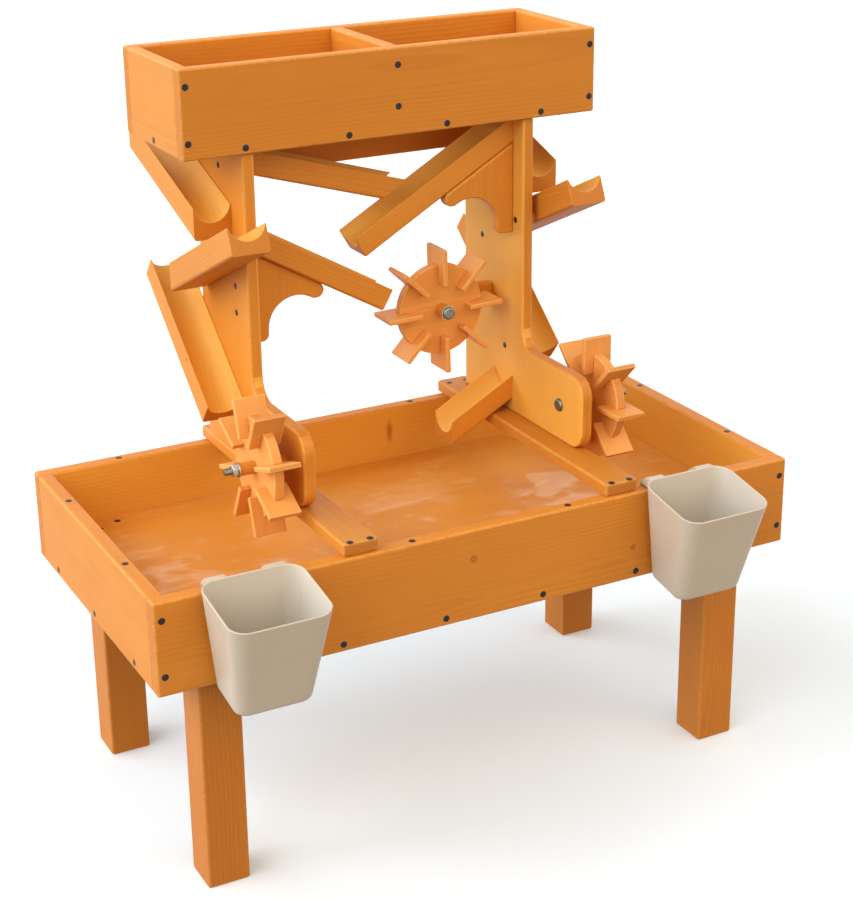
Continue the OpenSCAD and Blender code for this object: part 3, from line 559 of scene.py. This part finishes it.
def stained_wood(name, pale, deep, ring, knots=(), streaks=(), wet=0):
    """Softwood under an orange stain.

    Ring is the distance between growth rings. Each knot is its middle, its radius and how much
    narrower it is along each axis, and each streak has its strength too. Wet is where the wall
    is that thrown water runs back from, if any.
    """
    finish = Finish(name)
    here = finish.place()
    grain = finish.stored("grain", "Vector")
    late, knot_mask = growth_rings(finish, here, grain, ring, knots)

    # Fibres, pores and broad changes of colour
    fibre = finish.cloud(finish.stretched(grain, FIBRES), 1, 3, 0.6)
    hair = finish.cloud(finish.stretched(grain, HAIRS), 1, 2, 0.6)
    broad = finish.cloud(finish.stretched(grain, BROAD_BANDS), 1)
    patch = finish.cloud(finish.moved(here, PATCHES_FROM), PATCHES, 3, 0.55)
    share = (
        late * 0.3 + fibre * 0.36 + hair * 0.24 + broad * 0.55 + patch * 0.24
        + finish.stored("tone") * 0.14 - 0.26).at_least(0).at_most(1)

    # Painted light: faces in grooves and walls that look inwards are painted paler, as if lit
    # more brightly
    washed = finish.stored("washed") * (0.75 + patch * 0.5)
    light = finish.blend(washed, colour(*pale), tinted(pale, LIT_INNER_PALE))
    dark = finish.blend(washed, colour(*deep), tinted(deep, LIT_INNER_DEEP))
    base = finish.blend(share, light, dark)
    for middle, size, cut, strength in streaks:
        reach = distance(finish, here, middle, cut)
        line = (1 - finish.ease(reach, 0, size)) * (0.45 + fibre * 0.8) * strength
        base = finish.blend(line, base, tinted(deep, STREAK_TINT))
    if knot_mask is not None:
        base = finish.blend(knot_mask * 0.72, base, tinted(deep, KNOT_TINT))

    # End grain drinks more of the stain
    pores = finish.cloud(here, PORES, 2, 0.6)
    base = finish.blend(
        finish.stored("end") * (0.3 + pores * 0.35), base, tinted(deep, END_TINT))

    # The stain is thinner where an edge was sanded round, and the round edge carries a painted
    # highlight as well
    rub_and_highlight = finish.cloud(here, RUB_AND_HIGHLIGHT_MARKS, 3, 0.6)
    worn_and_highlight = finish.stored("edge") * finish.ease(rub_and_highlight, *RUB_AND_HIGHLIGHT_EDGE)
    base = finish.blend(worn_and_highlight * 0.4, base, tinted(pale, RUBBED_HIGHLIGHT_TINT, RUBBED_HIGHLIGHT_BLUE))

    rough = 0.44 + fibre * 0.12 + patch * 0.1 - late * 0.05
    height = late * 0.55 + fibre * 0.35 + hair * 0.25
    sockets = {
        "Metallic": 0, "IOR": 1.5, "Specular IOR Level": 0.36,
        "Normal": finish.relief(height, WOOD_RELIEF)}
    if wet:
        water, wet_sheen = standing_water(finish, here, wet)
        # Painted sheen: the wet patches are painted paler, as a painted reflection on the
        # water
        base = finish.blend(
            water * (0.1 + wet_sheen * 0.3), base, tinted(pale, FILM_SHEEN_TINT, FILM_SHEEN_BLUE))
        rough = rough - water * 0.14
        sockets.update({
            "Coat Weight": water * 0.38, "Coat Roughness": 0.2, "Coat IOR": 1.4})
    sockets.update({"Base Color": base, "Roughness": rough})
    return finish.coat(sockets)


# Patterns on metal and plastic, in waves to the metre
TARNISH = 260
TURNING_MARKS = (900, 2600, 2600)
RUBBED_SPOTS = 700
MOULD_CLOUDS = 18
SCUFF_LINES = (240, 240, 40)
SKIN = 1100
SPECKLES = 900

METAL_RELIEF = 0.02 * MM
SKIN_RELIEF = 0.012 * MM
TARNISH_EDGE = (0.45, 0.75)
RUBBED_EDGE = (0.6, 0.8)
SCUFF_EDGE = (0.56, 0.72)
TARNISHED = (0.45, 0.45, 0.45)
BLACKENED = colour(0.011, 0.011, 0.013)
BARE_STEEL = colour(0.07, 0.066, 0.062)
CLOUDED = (0.93, 0.93, 0.93)
SCUFFED = (1.1, 1.1, 1.1)
# Painted light: the inside of a bucket is painted paler, as if more light reached it
CREAM_LIT_INSIDE = colour(0.6, 0.57, 0.51)
GROUND_PALE = colour(0.81, 0.89, 0.955)
GROUND_DEEP = colour(0.79, 0.87, 0.935)
WHITE = colour(1, 1, 1)


def bare_metal(name, shade, rough):
    """Plated steel with fine turning marks and a little tarnish."""
    finish = Finish(name)
    here = finish.place()
    tarnish = finish.ease(finish.cloud(here, TARNISH, 3, 0.6), *TARNISH_EDGE)
    marks = finish.cloud(finish.stretched(here, TURNING_MARKS), 1)
    base = finish.blend(tarnish * 0.6, colour(*shade), tinted(shade, TARNISHED))
    return finish.coat({
        "Base Color": base, "Metallic": 1,
        "Roughness": rough + tarnish * 0.22 + marks * 0.1,
        "Normal": finish.relief(marks, METAL_RELIEF)})


def black_metal(name):
    """Blackened steel, rubbed a little bare."""
    finish = Finish(name)
    here = finish.place()
    rubbed = finish.ease(finish.cloud(here, RUBBED_SPOTS, 2, 0.6), *RUBBED_EDGE)
    base = finish.blend(rubbed, BLACKENED, BARE_STEEL)
    return finish.coat({
        "Base Color": base, "Metallic": 0.55, "Roughness": 0.36 + rubbed * 0.16,
        "Normal": finish.relief(rubbed, METAL_RELIEF)})


def moulded_plastic(name, shade):
    """Satin plastic, a little uneven from the mould and scuffed by use, its inside faces
    painted paler as painted light.
    """
    finish = Finish(name)
    here = finish.place()
    cloudy = finish.cloud(here, MOULD_CLOUDS)
    scuffs = finish.ease(
        finish.cloud(finish.stretched(here, SCUFF_LINES), 1, 4, 0.65), *SCUFF_EDGE)
    base = finish.blend(cloudy * 0.5, colour(*shade), tinted(shade, CLOUDED))
    # Painted light: the faces inside the bucket are painted paler
    base = finish.blend(finish.stored("inside") * 0.8, base, CREAM_LIT_INSIDE)
    base = finish.blend(scuffs * 0.2, base, tinted(shade, SCUFFED))
    return finish.coat({
        "Base Color": base, "IOR": 1.46, "Roughness": 0.36 + scuffs * 0.14 + cloudy * 0.05,
        "Subsurface Weight": 0.12, "Subsurface Radius": (0.9, 0.7, 0.5),
        "Subsurface Scale": 1.5 * MM,
        "Normal": finish.relief(finish.cloud(here, SKIN), SKIN_RELIEF)})


def pale_ground(name):
    """Matt paper, a little cooler than white against the warm light from the front."""
    finish = Finish(name)
    speckle = finish.cloud(finish.place(), SPECKLES)
    return finish.coat({
        "Base Color": finish.blend(speckle * 0.2, GROUND_PALE, GROUND_DEEP),
        "Roughness": 0.9, "Specular IOR Level": 0,
        "Emission Color": WHITE, "Emission Strength": 0.1})


# Through the thickness of a board, a knot's round outline stays the same
THROUGH_FRONT = (1, 0.12, 1)
THROUGH_SIDE = (0.2, 1, 1)
TRAY_KNOTS = (
    ((-0.0278, -0.1924, 0.3353), 5 * MM, THROUGH_FRONT),
    ((0.1851, -0.1924, 0.3019), 4 * MM, THROUGH_FRONT))
TROUGH_KNOTS = (((-0.214, 0.137, 0.506), 5 * MM, THROUGH_SIDE),)
BACK_STREAK = (((0.0649, 0.1986, 0.3377), 22 * MM, (3.4, 1.6, 1), 0.85),)

tray_wood = stained_wood(
    "stained_board", (0.70, 0.265, 0.026), (0.55, 0.175, 0.011), 5.5 * MM,
    TRAY_KNOTS, BACK_STREAK)
# Painted light: the tray floor is painted paler than the boards, as if lit more brightly
lit_wet_wood = stained_wood(
    "stained_wet_floor", (0.76, 0.32, 0.04), (0.62, 0.225, 0.02), 7 * MM,
    wet=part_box("tray_floor")[1].y)
frame_wood = stained_wood(
    "stained_frame", (0.70, 0.27, 0.028), (0.55, 0.18, 0.012), 5 * MM)
# Painted shade: the legs are painted darker, for the shade that they stand in under the tray
shaded_leg_wood = stained_wood(
    "stained_leg", (0.58, 0.2, 0.016), (0.43, 0.125, 0.007), 4.5 * MM)
trough_wood = stained_wood(
    "stained_trough", (0.71, 0.28, 0.032), (0.55, 0.18, 0.012), 4 * MM, TROUGH_KNOTS)
wheel_wood = stained_wood(
    "stained_wheel", (0.82, 0.38, 0.1), (0.68, 0.26, 0.045), 3.2 * MM)
spacer_wood = stained_wood(
    "stained_spacer", (0.68, 0.26, 0.028), (0.52, 0.17, 0.01), 2.5 * MM)
# Painted shade: the planks are painted a little darker, to tone down the light on their tops
shaded_plank_wood = stained_wood(
    "stained_plank", (0.63, 0.25, 0.028), (0.5, 0.17, 0.013), 4 * MM)
axle_steel = bare_metal("plated_steel", (0.5, 0.48, 0.43), 0.26)
bolt_steel = bare_metal("dulled_steel", (0.2, 0.21, 0.18), 0.3)
screw_black = black_metal("blackened_steel")
bucket_cream = moulded_plastic("cream_plastic", (0.575, 0.49, 0.385))


# --- Screws -----------------------------------------------------------------------------

HEAD_RADIUS = 4 * MM
HEAD_DEEP = 2 * MM
SHANK_RADIUS = 1.9 * MM
CROSS_LONG = 4.4 * MM
CROSS_WIDE = 1 * MM
CROSS_DEEP = 0.4 * MM
CROSS_TAPER = 0.55
HEAD_PROUD = 0.5 * MM
HEAD_SIDES = 28
# The head's rim slopes up this far in and this high, and then its crown begins
RIM_SLOPE = 0.45 * MM
RIM_RISE = 0.3 * MM
CROWN_SLOPE = 0.7 * MM
SHANK_SIDES = 12
POINT_SLOPE = 0.7 * SHANK_RADIUS
# A point of a screw that is farther than this from its axis belongs to its head
HEAD_FROM = 3 * MM
SCREW_TURN = math.radians(25)


def cut_away(piece, tool):
    """Takes the tool's shape out of the piece."""
    cut = piece.modifiers.new("cut", "BOOLEAN")
    cut.operation = "DIFFERENCE"
    cut.solver = "EXACT"
    cut.object = tool
    take(piece)
    bpy.ops.object.modifier_apply(modifier="cut")
    bpy.data.objects.remove(tool, do_unlink=True)


def joined(pieces):
    """Makes one piece of several, with its place in its mesh."""
    bpy.ops.object.select_all(action="DESELECT")
    for piece in pieces:
        piece.select_set(True)
    bpy.context.view_layer.objects.active = pieces[0]
    bpy.ops.object.join()
    return settled()


def standing(top, facing, turned=0):
    """The placing of a thing that is made at the origin, facing up."""
    stand = Matrix.Translation(top) @ facing.to_track_quat("Z", "Y").to_matrix().to_4x4()
    return stand @ Matrix.Rotation(turned, 4, "Z")


def bar(size, middle):
    """A straight bar of that size, to be shaped or cut with."""
    bpy.ops.object.select_all(action="DESELECT")
    bpy.ops.mesh.primitive_cube_add(size=1, location=middle, scale=size)
    return settled()


def rod(sides, radius, top, bottom):
    """A straight round rod on the upright axis."""
    bpy.ops.object.select_all(action="DESELECT")
    bpy.ops.mesh.primitive_cylinder_add(
        vertices=sides, radius=radius, depth=top - bottom, location=(0, 0, (top + bottom) / 2))
    return settled()


def screw_head():
    """A screw's head at the origin, facing up, with a tapered cross for the driver."""
    head = rod(HEAD_SIDES, HEAD_RADIUS, 0, -HEAD_DEEP)
    open_up(head, "FACE")
    pick(head, "faces", looks_down)
    bpy.ops.transform.resize(value=(SHANK_RADIUS / HEAD_RADIUS, SHANK_RADIUS / HEAD_RADIUS, 1))
    pick(head, "faces", looks_up)
    bpy.ops.mesh.inset(thickness=RIM_SLOPE, depth=RIM_RISE)
    bpy.ops.mesh.inset(thickness=CROWN_SLOPE, depth=HEAD_PROUD - RIM_RISE)
    close_up()
    for wide, deep in ((CROSS_LONG, CROSS_WIDE), (CROSS_WIDE, CROSS_LONG)):
        blade = bar((wide, deep, 2 * CROSS_DEEP), (0, 0, HEAD_PROUD))
        open_up(blade, "FACE")
        pick(blade, "faces", looks_down)
        bpy.ops.transform.resize(value=(CROSS_TAPER, CROSS_TAPER, 1))
        close_up()
        cut_away(head, blade)
    open_up(head, "VERT")
    select_all()
    bpy.ops.mesh.remove_doubles(threshold=SAME_POINT)
    close_up()
    return head


def screw_places(node):
    """The middle of each screw's head, the way that it faces, and the screw's length."""
    source = merged_copy(node)
    found = []
    for members in islands(source.data):
        points = [source.data.vertices[i].co.copy() for i in members]
        way = longest_side(None, points)
        low = min(p.dot(way) for p in points)
        high = max(p.dot(way) for p in points)
        middle = sum(points, Vector()) / len(points)
        line = middle - way * middle.dot(way)
        wide = [p for p in points if (p - way * p.dot(way) - line).length > HEAD_FROM]
        head_at = sum(p.dot(way) for p in wide) / len(wide)
        facing = way if head_at > (low + high) / 2 else -way
        top = high if facing == way else -low
        found.append((line + facing * top, facing, high - low))
    bpy.data.objects.remove(source, do_unlink=True)
    return found


def screw_shank(length):
    """The plain shank below a screw's head."""
    shank = rod(SHANK_SIDES, SHANK_RADIUS, -HEAD_DEEP, -length)
    open_up(shank, "FACE")
    pick(shank, "faces", looks_down)
    bpy.ops.mesh.inset(thickness=POINT_SLOPE)
    close_up()
    return shank


def copied(piece, name):
    """A copy of the piece with a mesh of its own."""
    twin = piece.copy()
    twin.data = piece.data.copy()
    twin.name = name
    bpy.context.scene.collection.objects.link(twin)
    return twin


# --- Wooden pieces ----------------------------------------------------------------------

def wear(piece, finish, body="table"):
    """Gives a finished piece its material, and joins it to the body that it moves with."""
    mesh = piece.data
    sanded = [float(face.material_index == 1) for face in mesh.polygons]
    store(mesh, "edge", sanded)
    mesh.polygons.foreach_set("material_index", [0] * len(sanded))
    mesh.materials.clear()
    mesh.materials.append(finish)
    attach(piece, body)


def middle_of(*nodes):
    """The middle of the box round these nodes."""
    boxes = [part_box(node) for node in nodes]
    low = Vector([min(box[0][i] for box in boxes) for i in range(3)])
    high = Vector([max(box[1][i] for box in boxes) for i in range(3)])
    return (low + high) / 2


def wooden(
        node, edge, along, finish, body="table", blank=undrilled, basin=None,
        grooved=False):
    """A wooden node with its edges sanded, its grain laid along it and its inner faces painted
    paler as painted light.

    Blank makes the plain piece from the node's solid.
    """
    piece = blank(node)
    sand(piece, edge)
    smooth(piece)
    lay_grain(piece, along)
    lay_wash(piece, basin, grooved)
    wear(piece, finish, body)
    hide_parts(node)


TRAY_BASIN = middle_of("tray_front_board", "tray_back_board")
TOWER_MIDDLE = middle_of("upright_left", "upright_right")

for node, along in (
        ("tray_front_board", EAST), ("tray_back_board", EAST),
        ("tray_left_board", NORTH), ("tray_right_board", NORTH),
        ("header_front_board", EAST), ("header_back_board", EAST),
        ("header_left_board", NORTH), ("header_right_board", NORTH),
        ("header_divider", NORTH)):
    in_tray = node.startswith("tray")
    wooden(
        node, BOARD_EDGE, along, tray_wood if in_tray else frame_wood,
        basin=TRAY_BASIN if in_tray else None)
wooden("tray_floor", FLOOR_EDGE, EAST, lit_wet_wood)
wooden("header_floor", FLOOR_EDGE, EAST, frame_wood)
wooden("floor_cleats", FLOOR_EDGE, longest_side, frame_wood)
for node in ("leg_front_left", "leg_front_right", "leg_back_left", "leg_back_right"):
    wooden(node, POST_EDGE, UP, shaded_leg_wood)
for node in ("plank_left", "plank_right"):
    wooden(node, BOARD_EDGE, NORTH, shaded_plank_wood, blank=whole)
for node in ("bracket_left", "bracket_right"):
    wooden(node, BOARD_EDGE, UP, frame_wood)
for side in ("left", "right"):
    wooden("upright_" + side, BOARD_EDGE, UP, frame_wood, basin=TOWER_MIDDLE)
wooden("back_rail", BOARD_EDGE, EAST, frame_wood)
wooden("wheel_arm", BOARD_EDGE, EAST, frame_wood)

for nodes, level, rise in (
        (("upper_trough_left", "upper_trough_right"), NORTH, UPPER_SLOPE),
        (("middle_trough_left", "middle_trough_right"), NORTH, -MIDDLE_SLOPE),
        (("lower_trough_left", "lower_trough_right"), NORTH, LOWER_SLOPE),
        (("first_inner_trough",), EAST, -FIRST_SLOPE),
        (("second_inner_trough",), EAST, INNER_SLOPE),
        (("third_inner_trough",), EAST, -INNER_SLOPE),
        (("foot_trough",), EAST, FOOT_SLOPE)):
    along = level * math.cos(rise) + UP * math.sin(rise)
    for node in nodes:
        wooden(node, TROUGH_EDGE, along, trough_wood, grooved=True)
wooden(
    "right_trough_spacers", SPACER_EDGE, EAST, spacer_wood, blank=merged_copy)

for side, axis, across in (
        ("left", EAST, UP), ("right", EAST, NORTH), ("middle", NORTH, EAST)):
    hub = middle_of(side + "_wheel_disc")

    def outwards(middle, points):
        spoke = middle - hub
        return (spoke - axis * spoke.dot(axis)).normalized()

    body = side + "_wheel"
    wooden(body + "_disc", DISC_EDGE, across, wheel_wood, body, merged_copy)
    wooden(body + "_paddles", PADDLE_EDGE, outwards, wheel_wood, body)
    wooden(
        side + "_axle_spacers", SPACER_EDGE, axis, spacer_wood,
        blank=merged_copy)


# --- Axle hardware ----------------------------------------------------------------------

BOLT_HEAD = 8 * MM
BOLT_DOME = 2.7 * MM
BOLT_TIP = 0.7 * MM
AXLE = 4 * MM
NUT_EDGE = 0.7 * MM
WASHER_EDGE = 0.35 * MM
DOME_STEPS = 5
HARDWARE_STEPS = 2


def end_ring(radius, hub, axis, at):
    """Picks the sharp edges round the axis at this radius and this place along it."""
    def wanted(edge):
        if not is_outer_edge(edge):
            return False
        for end in edge.verts:
            off = end.co - hub
            if abs((off - axis * off.dot(axis)).length - radius) > NEARLY:
                return False
            if abs(end.co.dot(axis) - at) > NEARLY:
                return False
        return True
    return wanted


# Each bolt's head is at the low or the high end of its axis
for side, axis, head_low in (
        ("left", EAST, False), ("right", EAST, True), ("middle", NORTH, True)):
    hub = middle_of(side + "_wheel_disc")
    low, high = (corner.dot(axis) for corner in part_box(side + "_axle_bolt"))
    head, tail = (low, high) if head_low else (high, low)
    bolt = merged_copy(side + "_axle_bolt")
    sand(bolt, BOLT_DOME, DOME_STEPS, end_ring(BOLT_HEAD, hub, axis, head))
    sand(bolt, BOLT_TIP, 1, end_ring(AXLE, hub, axis, tail))
    smooth(bolt)
    wear(bolt, bolt_steel)
    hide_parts(side + "_axle_bolt")
    for part, edge in (("_axle_nut", NUT_EDGE), ("_axle_washer", WASHER_EDGE)):
        piece = merged_copy(side + part)
        sand(piece, edge, HARDWARE_STEPS)
        smooth(piece)
        wear(piece, axle_steel)
        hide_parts(side + part)


pattern = screw_head()
for node in ("tray_screws", "floor_screws", "plank_screws", "header_screws", "tower_screws"):
    copies = []
    for number, (top, facing, length) in enumerate(screw_places(node)):
        turned = random.Random(node + str(number)).uniform(0, math.pi)
        for piece in (copied(pattern, node + "_head"), screw_shank(length)):
            piece.matrix_world = standing(top, facing, turned)
            copies.append(piece)
    screws = joined(copies)
    screws.name = node + "_made"
    smooth(screws, SCREW_TURN)
    wear(screws, screw_black)
    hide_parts(node)
bpy.data.objects.remove(pattern, do_unlink=True)


# --- Buckets ----------------------------------------------------------------------------

# Width and depth of the mouth and of the base
MOUTH = (117 * MM, 102 * MM)
BASE = (88 * MM, 66 * MM)
BUCKET_HIGH = 120 * MM
MOUTH_ROUND = 21 * MM
MOUTH_STEPS = 10
WALL = 2.5 * MM
TILT = math.radians(10)
# How far the bottom is drawn back, so that the back wall hangs plumb
DRAWN_BACK = BUCKET_HIGH * math.tan(TILT)
# Height, rounding and its steps of the base's edge, the floor inside and the rim
BUCKET_EDGES = (
    (-BUCKET_HIGH, 7 * MM, 6), (WALL - BUCKET_HIGH, 5 * MM, 4), (0, 1.1 * MM, 3))
BUCKET_TURN = math.radians(40)
HOOK_WIDE = 22 * MM
HOOK_PITCH = 68 * MM
HOOK_REACH = 21.6 * MM
HOOK_EDGE = 0.8 * MM
HOOK_EDGE_STEPS = 2
HOOK_BEND = 3.4 * MM
HOOK_BEND_STEPS = 4
# The hook's outer corners above this height are bent round
HOOK_SHOULDER = -11 * MM
# Side view of a hook in millimetres: back from the rim, over the board and down behind it
HOOK_SHAPE = (
    (-1.2, -0.7), (9.3, -1.6), (21.6, -10.2), (21.6, -28.2), (18.6, -28.2),
    (18.6, -13.2), (0, -13.2), (0, -16.2), (-1.2, -16.2))


def taper(factors, by):
    """Brings the selected face to its size at the bottom, and draws it back."""
    bpy.ops.transform.resize(value=(factors[0], factors[1], 1))
    bpy.ops.transform.translate(value=(0, by, 0))


def bucket_shell():
    """The bucket without its hooks, its back rim at the origin and its mouth level."""
    shell = bar((MOUTH[0], MOUTH[1], BUCKET_HIGH), (0, -MOUTH[1] / 2, -BUCKET_HIGH / 2))
    open_up(shell, "EDGE")
    pick(shell, "edges", lambda edge: abs((edge.verts[0].co - edge.verts[1].co).z) > WALL)
    bpy.ops.mesh.bevel(offset=MOUTH_ROUND, segments=MOUTH_STEPS, profile=0.5)
    bpy.ops.mesh.select_mode(type="FACE")
    pick(shell, "faces", looks_down)
    shift = MOUTH[1] / 2 - DRAWN_BACK - BASE[1] / 2
    taper((BASE[0] / MOUTH[0], BASE[1] / MOUTH[1]), shift)
    pick(shell, "faces", looks_up)
    bpy.ops.mesh.inset(thickness=WALL)
    bpy.ops.mesh.extrude_region_move(
        TRANSFORM_OT_translate={"value": (0, 0, WALL - BUCKET_HIGH)})
    taper([(b - 2 * WALL) / (m - 2 * WALL) for b, m in zip(BASE, MOUTH)], shift)
    bpy.ops.mesh.select_mode(type="EDGE")
    for height, edge_round, steps in BUCKET_EDGES:
        pick(shell, "edges", lambda edge: all(
            abs(end.co.z - height) < SAME_POINT for end in edge.verts)
            and edge.calc_face_angle(0) > SANDED_TURN)
        bpy.ops.mesh.bevel(
            offset=edge_round, segments=steps, profile=0.5, clamp_overlap=False)
    close_up()
    return shell


def bucket_hook(place):
    """One hook, its side view drawn first and then pulled to its width."""
    bpy.ops.object.select_all(action="DESELECT")
    bpy.ops.mesh.primitive_circle_add(vertices=len(HOOK_SHAPE), fill_type="NGON")
    hook = bpy.context.active_object
    open_up(hook, "VERT")
    outline = bmesh.from_edit_mesh(hook.data)
    for corner, (back, rise) in zip(outline.verts, HOOK_SHAPE):
        corner.co = Vector((place - HOOK_WIDE / 2, back * MM, rise * MM))
    bmesh.update_edit_mesh(hook.data)
    select_all()
    bpy.ops.mesh.extrude_region_move(TRANSFORM_OT_translate={"value": (HOOK_WIDE, 0, 0)})
    select_all()
    bpy.ops.mesh.normals_make_consistent(inside=False)
    bpy.ops.mesh.select_mode(type="EDGE")
    pick(hook, "edges", lambda edge: all(
        end.co.y > HOOK_REACH - SAME_POINT and end.co.z > HOOK_SHOULDER
        for end in edge.verts))
    bpy.ops.mesh.bevel(offset=HOOK_BEND, segments=HOOK_BEND_STEPS, profile=0.5)
    close_up()
    sand(hook, HOOK_EDGE, HOOK_EDGE_STEPS)
    return hook


def bucket(side):
    """A tapered bucket with a soft base edge, a rounded rim and two hooks over the board."""
    node = side + "_bucket"
    low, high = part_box(node)
    shell = bucket_shell()
    middle = Vector((0, -MOUTH[1] / 2, -BUCKET_HIGH / 2))
    # The faces inside the bucket are marked, so that its finish paints them paler as painted
    # light
    store(shell.data, "inside", [
        float((face.center - middle).dot(face.normal) < 0) for face in shell.data.polygons])
    shell.matrix_world = Matrix.Rotation(TILT, 4, "X")
    piece = joined([shell] + [bucket_hook(way * HOOK_PITCH / 2) for way in (-1, 1)])
    piece.name = node + "_made"
    piece.location = ((low.x + high.x) / 2, high.y - HOOK_REACH, high.z)
    take(piece)
    settled()
    smooth(piece, BUCKET_TURN)
    wear(piece, bucket_cream, node + "_body")
    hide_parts(node)


bucket("left")
bucket("right")


# --- Ground, light and camera -----------------------------------------------------------

GROUND_WIDE = 60

bpy.ops.object.select_all(action="DESELECT")
bpy.ops.mesh.primitive_plane_add(size=GROUND_WIDE)
ground = bpy.context.active_object
ground.name = "ground"
ground.data.materials.append(pale_ground("pale_ground"))
ground.visible_diffuse = False
ground.visible_shadow = False

world = bpy.data.worlds.new("white_room")
bpy.context.scene.world = world
world.use_nodes = True
backdrop = world.node_tree.nodes["Background"].inputs
backdrop["Color"].default_value = WHITE
backdrop["Strength"].default_value = 1
world.cycles_visibility.diffuse = False


def softbox(name, towards, softness, strength, tint=(1, 1, 1)):
    """Even light from far off, from the way towards it. Softness is in degrees."""
    data = bpy.data.lights.new(name, "SUN")
    data.angle = math.radians(softness)
    data.energy = strength
    data.color = tint
    light = bpy.data.objects.new(name, data)
    bpy.context.scene.collection.objects.link(light)
    light.matrix_world = Vector(towards).to_track_quat("Z", "Y").to_matrix().to_4x4()


softbox("left_softbox", (-0.85, -0.24, 0.47), 64, 2.5)
softbox("back_left_softbox", (-0.78, 0.48, 0.40), 60, 1.9)
softbox("front_softbox", (0.06, -0.87, 0.49), 74, 1.8, (1, 0.79, 0.54))
softbox("right_softbox", (0.85, -0.10, 0.50), 90, 1.3)
softbox("back_softbox", (-0.10, 0.85, 0.52), 90, 0.9)
softbox("top_softbox", (0, 0, 1), 110, 0.4)
softbox("floor_glow", (0, 0, -1), 120, 0.7)

# The camera stands where the edges of the tray and the header place it. Angles in radians
CAMERA_AT = Vector((-0.96549, -1.87314, 1.23914))
CAMERA_YAW = 0.4823018
CAMERA_TILT = 0.3510935
CAMERA_ROLL = -0.0120534
FOCAL_PIXELS = 1901.746
OPTICAL_CENTRE = (425.858, 391.621)
PICTURE = (853, 898)
SENSOR = 36
FAR_ENOUGH = 100

camera_data = bpy.data.cameras.new("camera")
camera_data.sensor_width = SENSOR
camera_data.lens = FOCAL_PIXELS * SENSOR / PICTURE[1]
camera_data.shift_x = (PICTURE[0] / 2 - OPTICAL_CENTRE[0]) / PICTURE[1]
camera_data.shift_y = (OPTICAL_CENTRE[1] - PICTURE[1] / 2) / PICTURE[1]
camera_data.clip_end = FAR_ENOUGH
camera = bpy.data.objects.new("camera", camera_data)
bpy.context.scene.collection.objects.link(camera)
level_right = Vector((math.cos(CAMERA_YAW), -math.sin(CAMERA_YAW), 0))
forward = Vector((
    math.sin(CAMERA_YAW) * math.cos(CAMERA_TILT), math.cos(CAMERA_YAW) * math.cos(CAMERA_TILT),
    -math.sin(CAMERA_TILT)))
level_up = level_right.cross(forward)
right = level_right * math.cos(CAMERA_ROLL) + level_up * math.sin(CAMERA_ROLL)
top = level_up * math.cos(CAMERA_ROLL) - level_right * math.sin(CAMERA_ROLL)
facing = Matrix((right, top, -forward)).transposed().to_4x4()
camera.matrix_world = Matrix.Translation(CAMERA_AT) @ facing
bpy.context.scene.camera = camera
bpy.context.scene.view_settings.view_transform = "Standard"
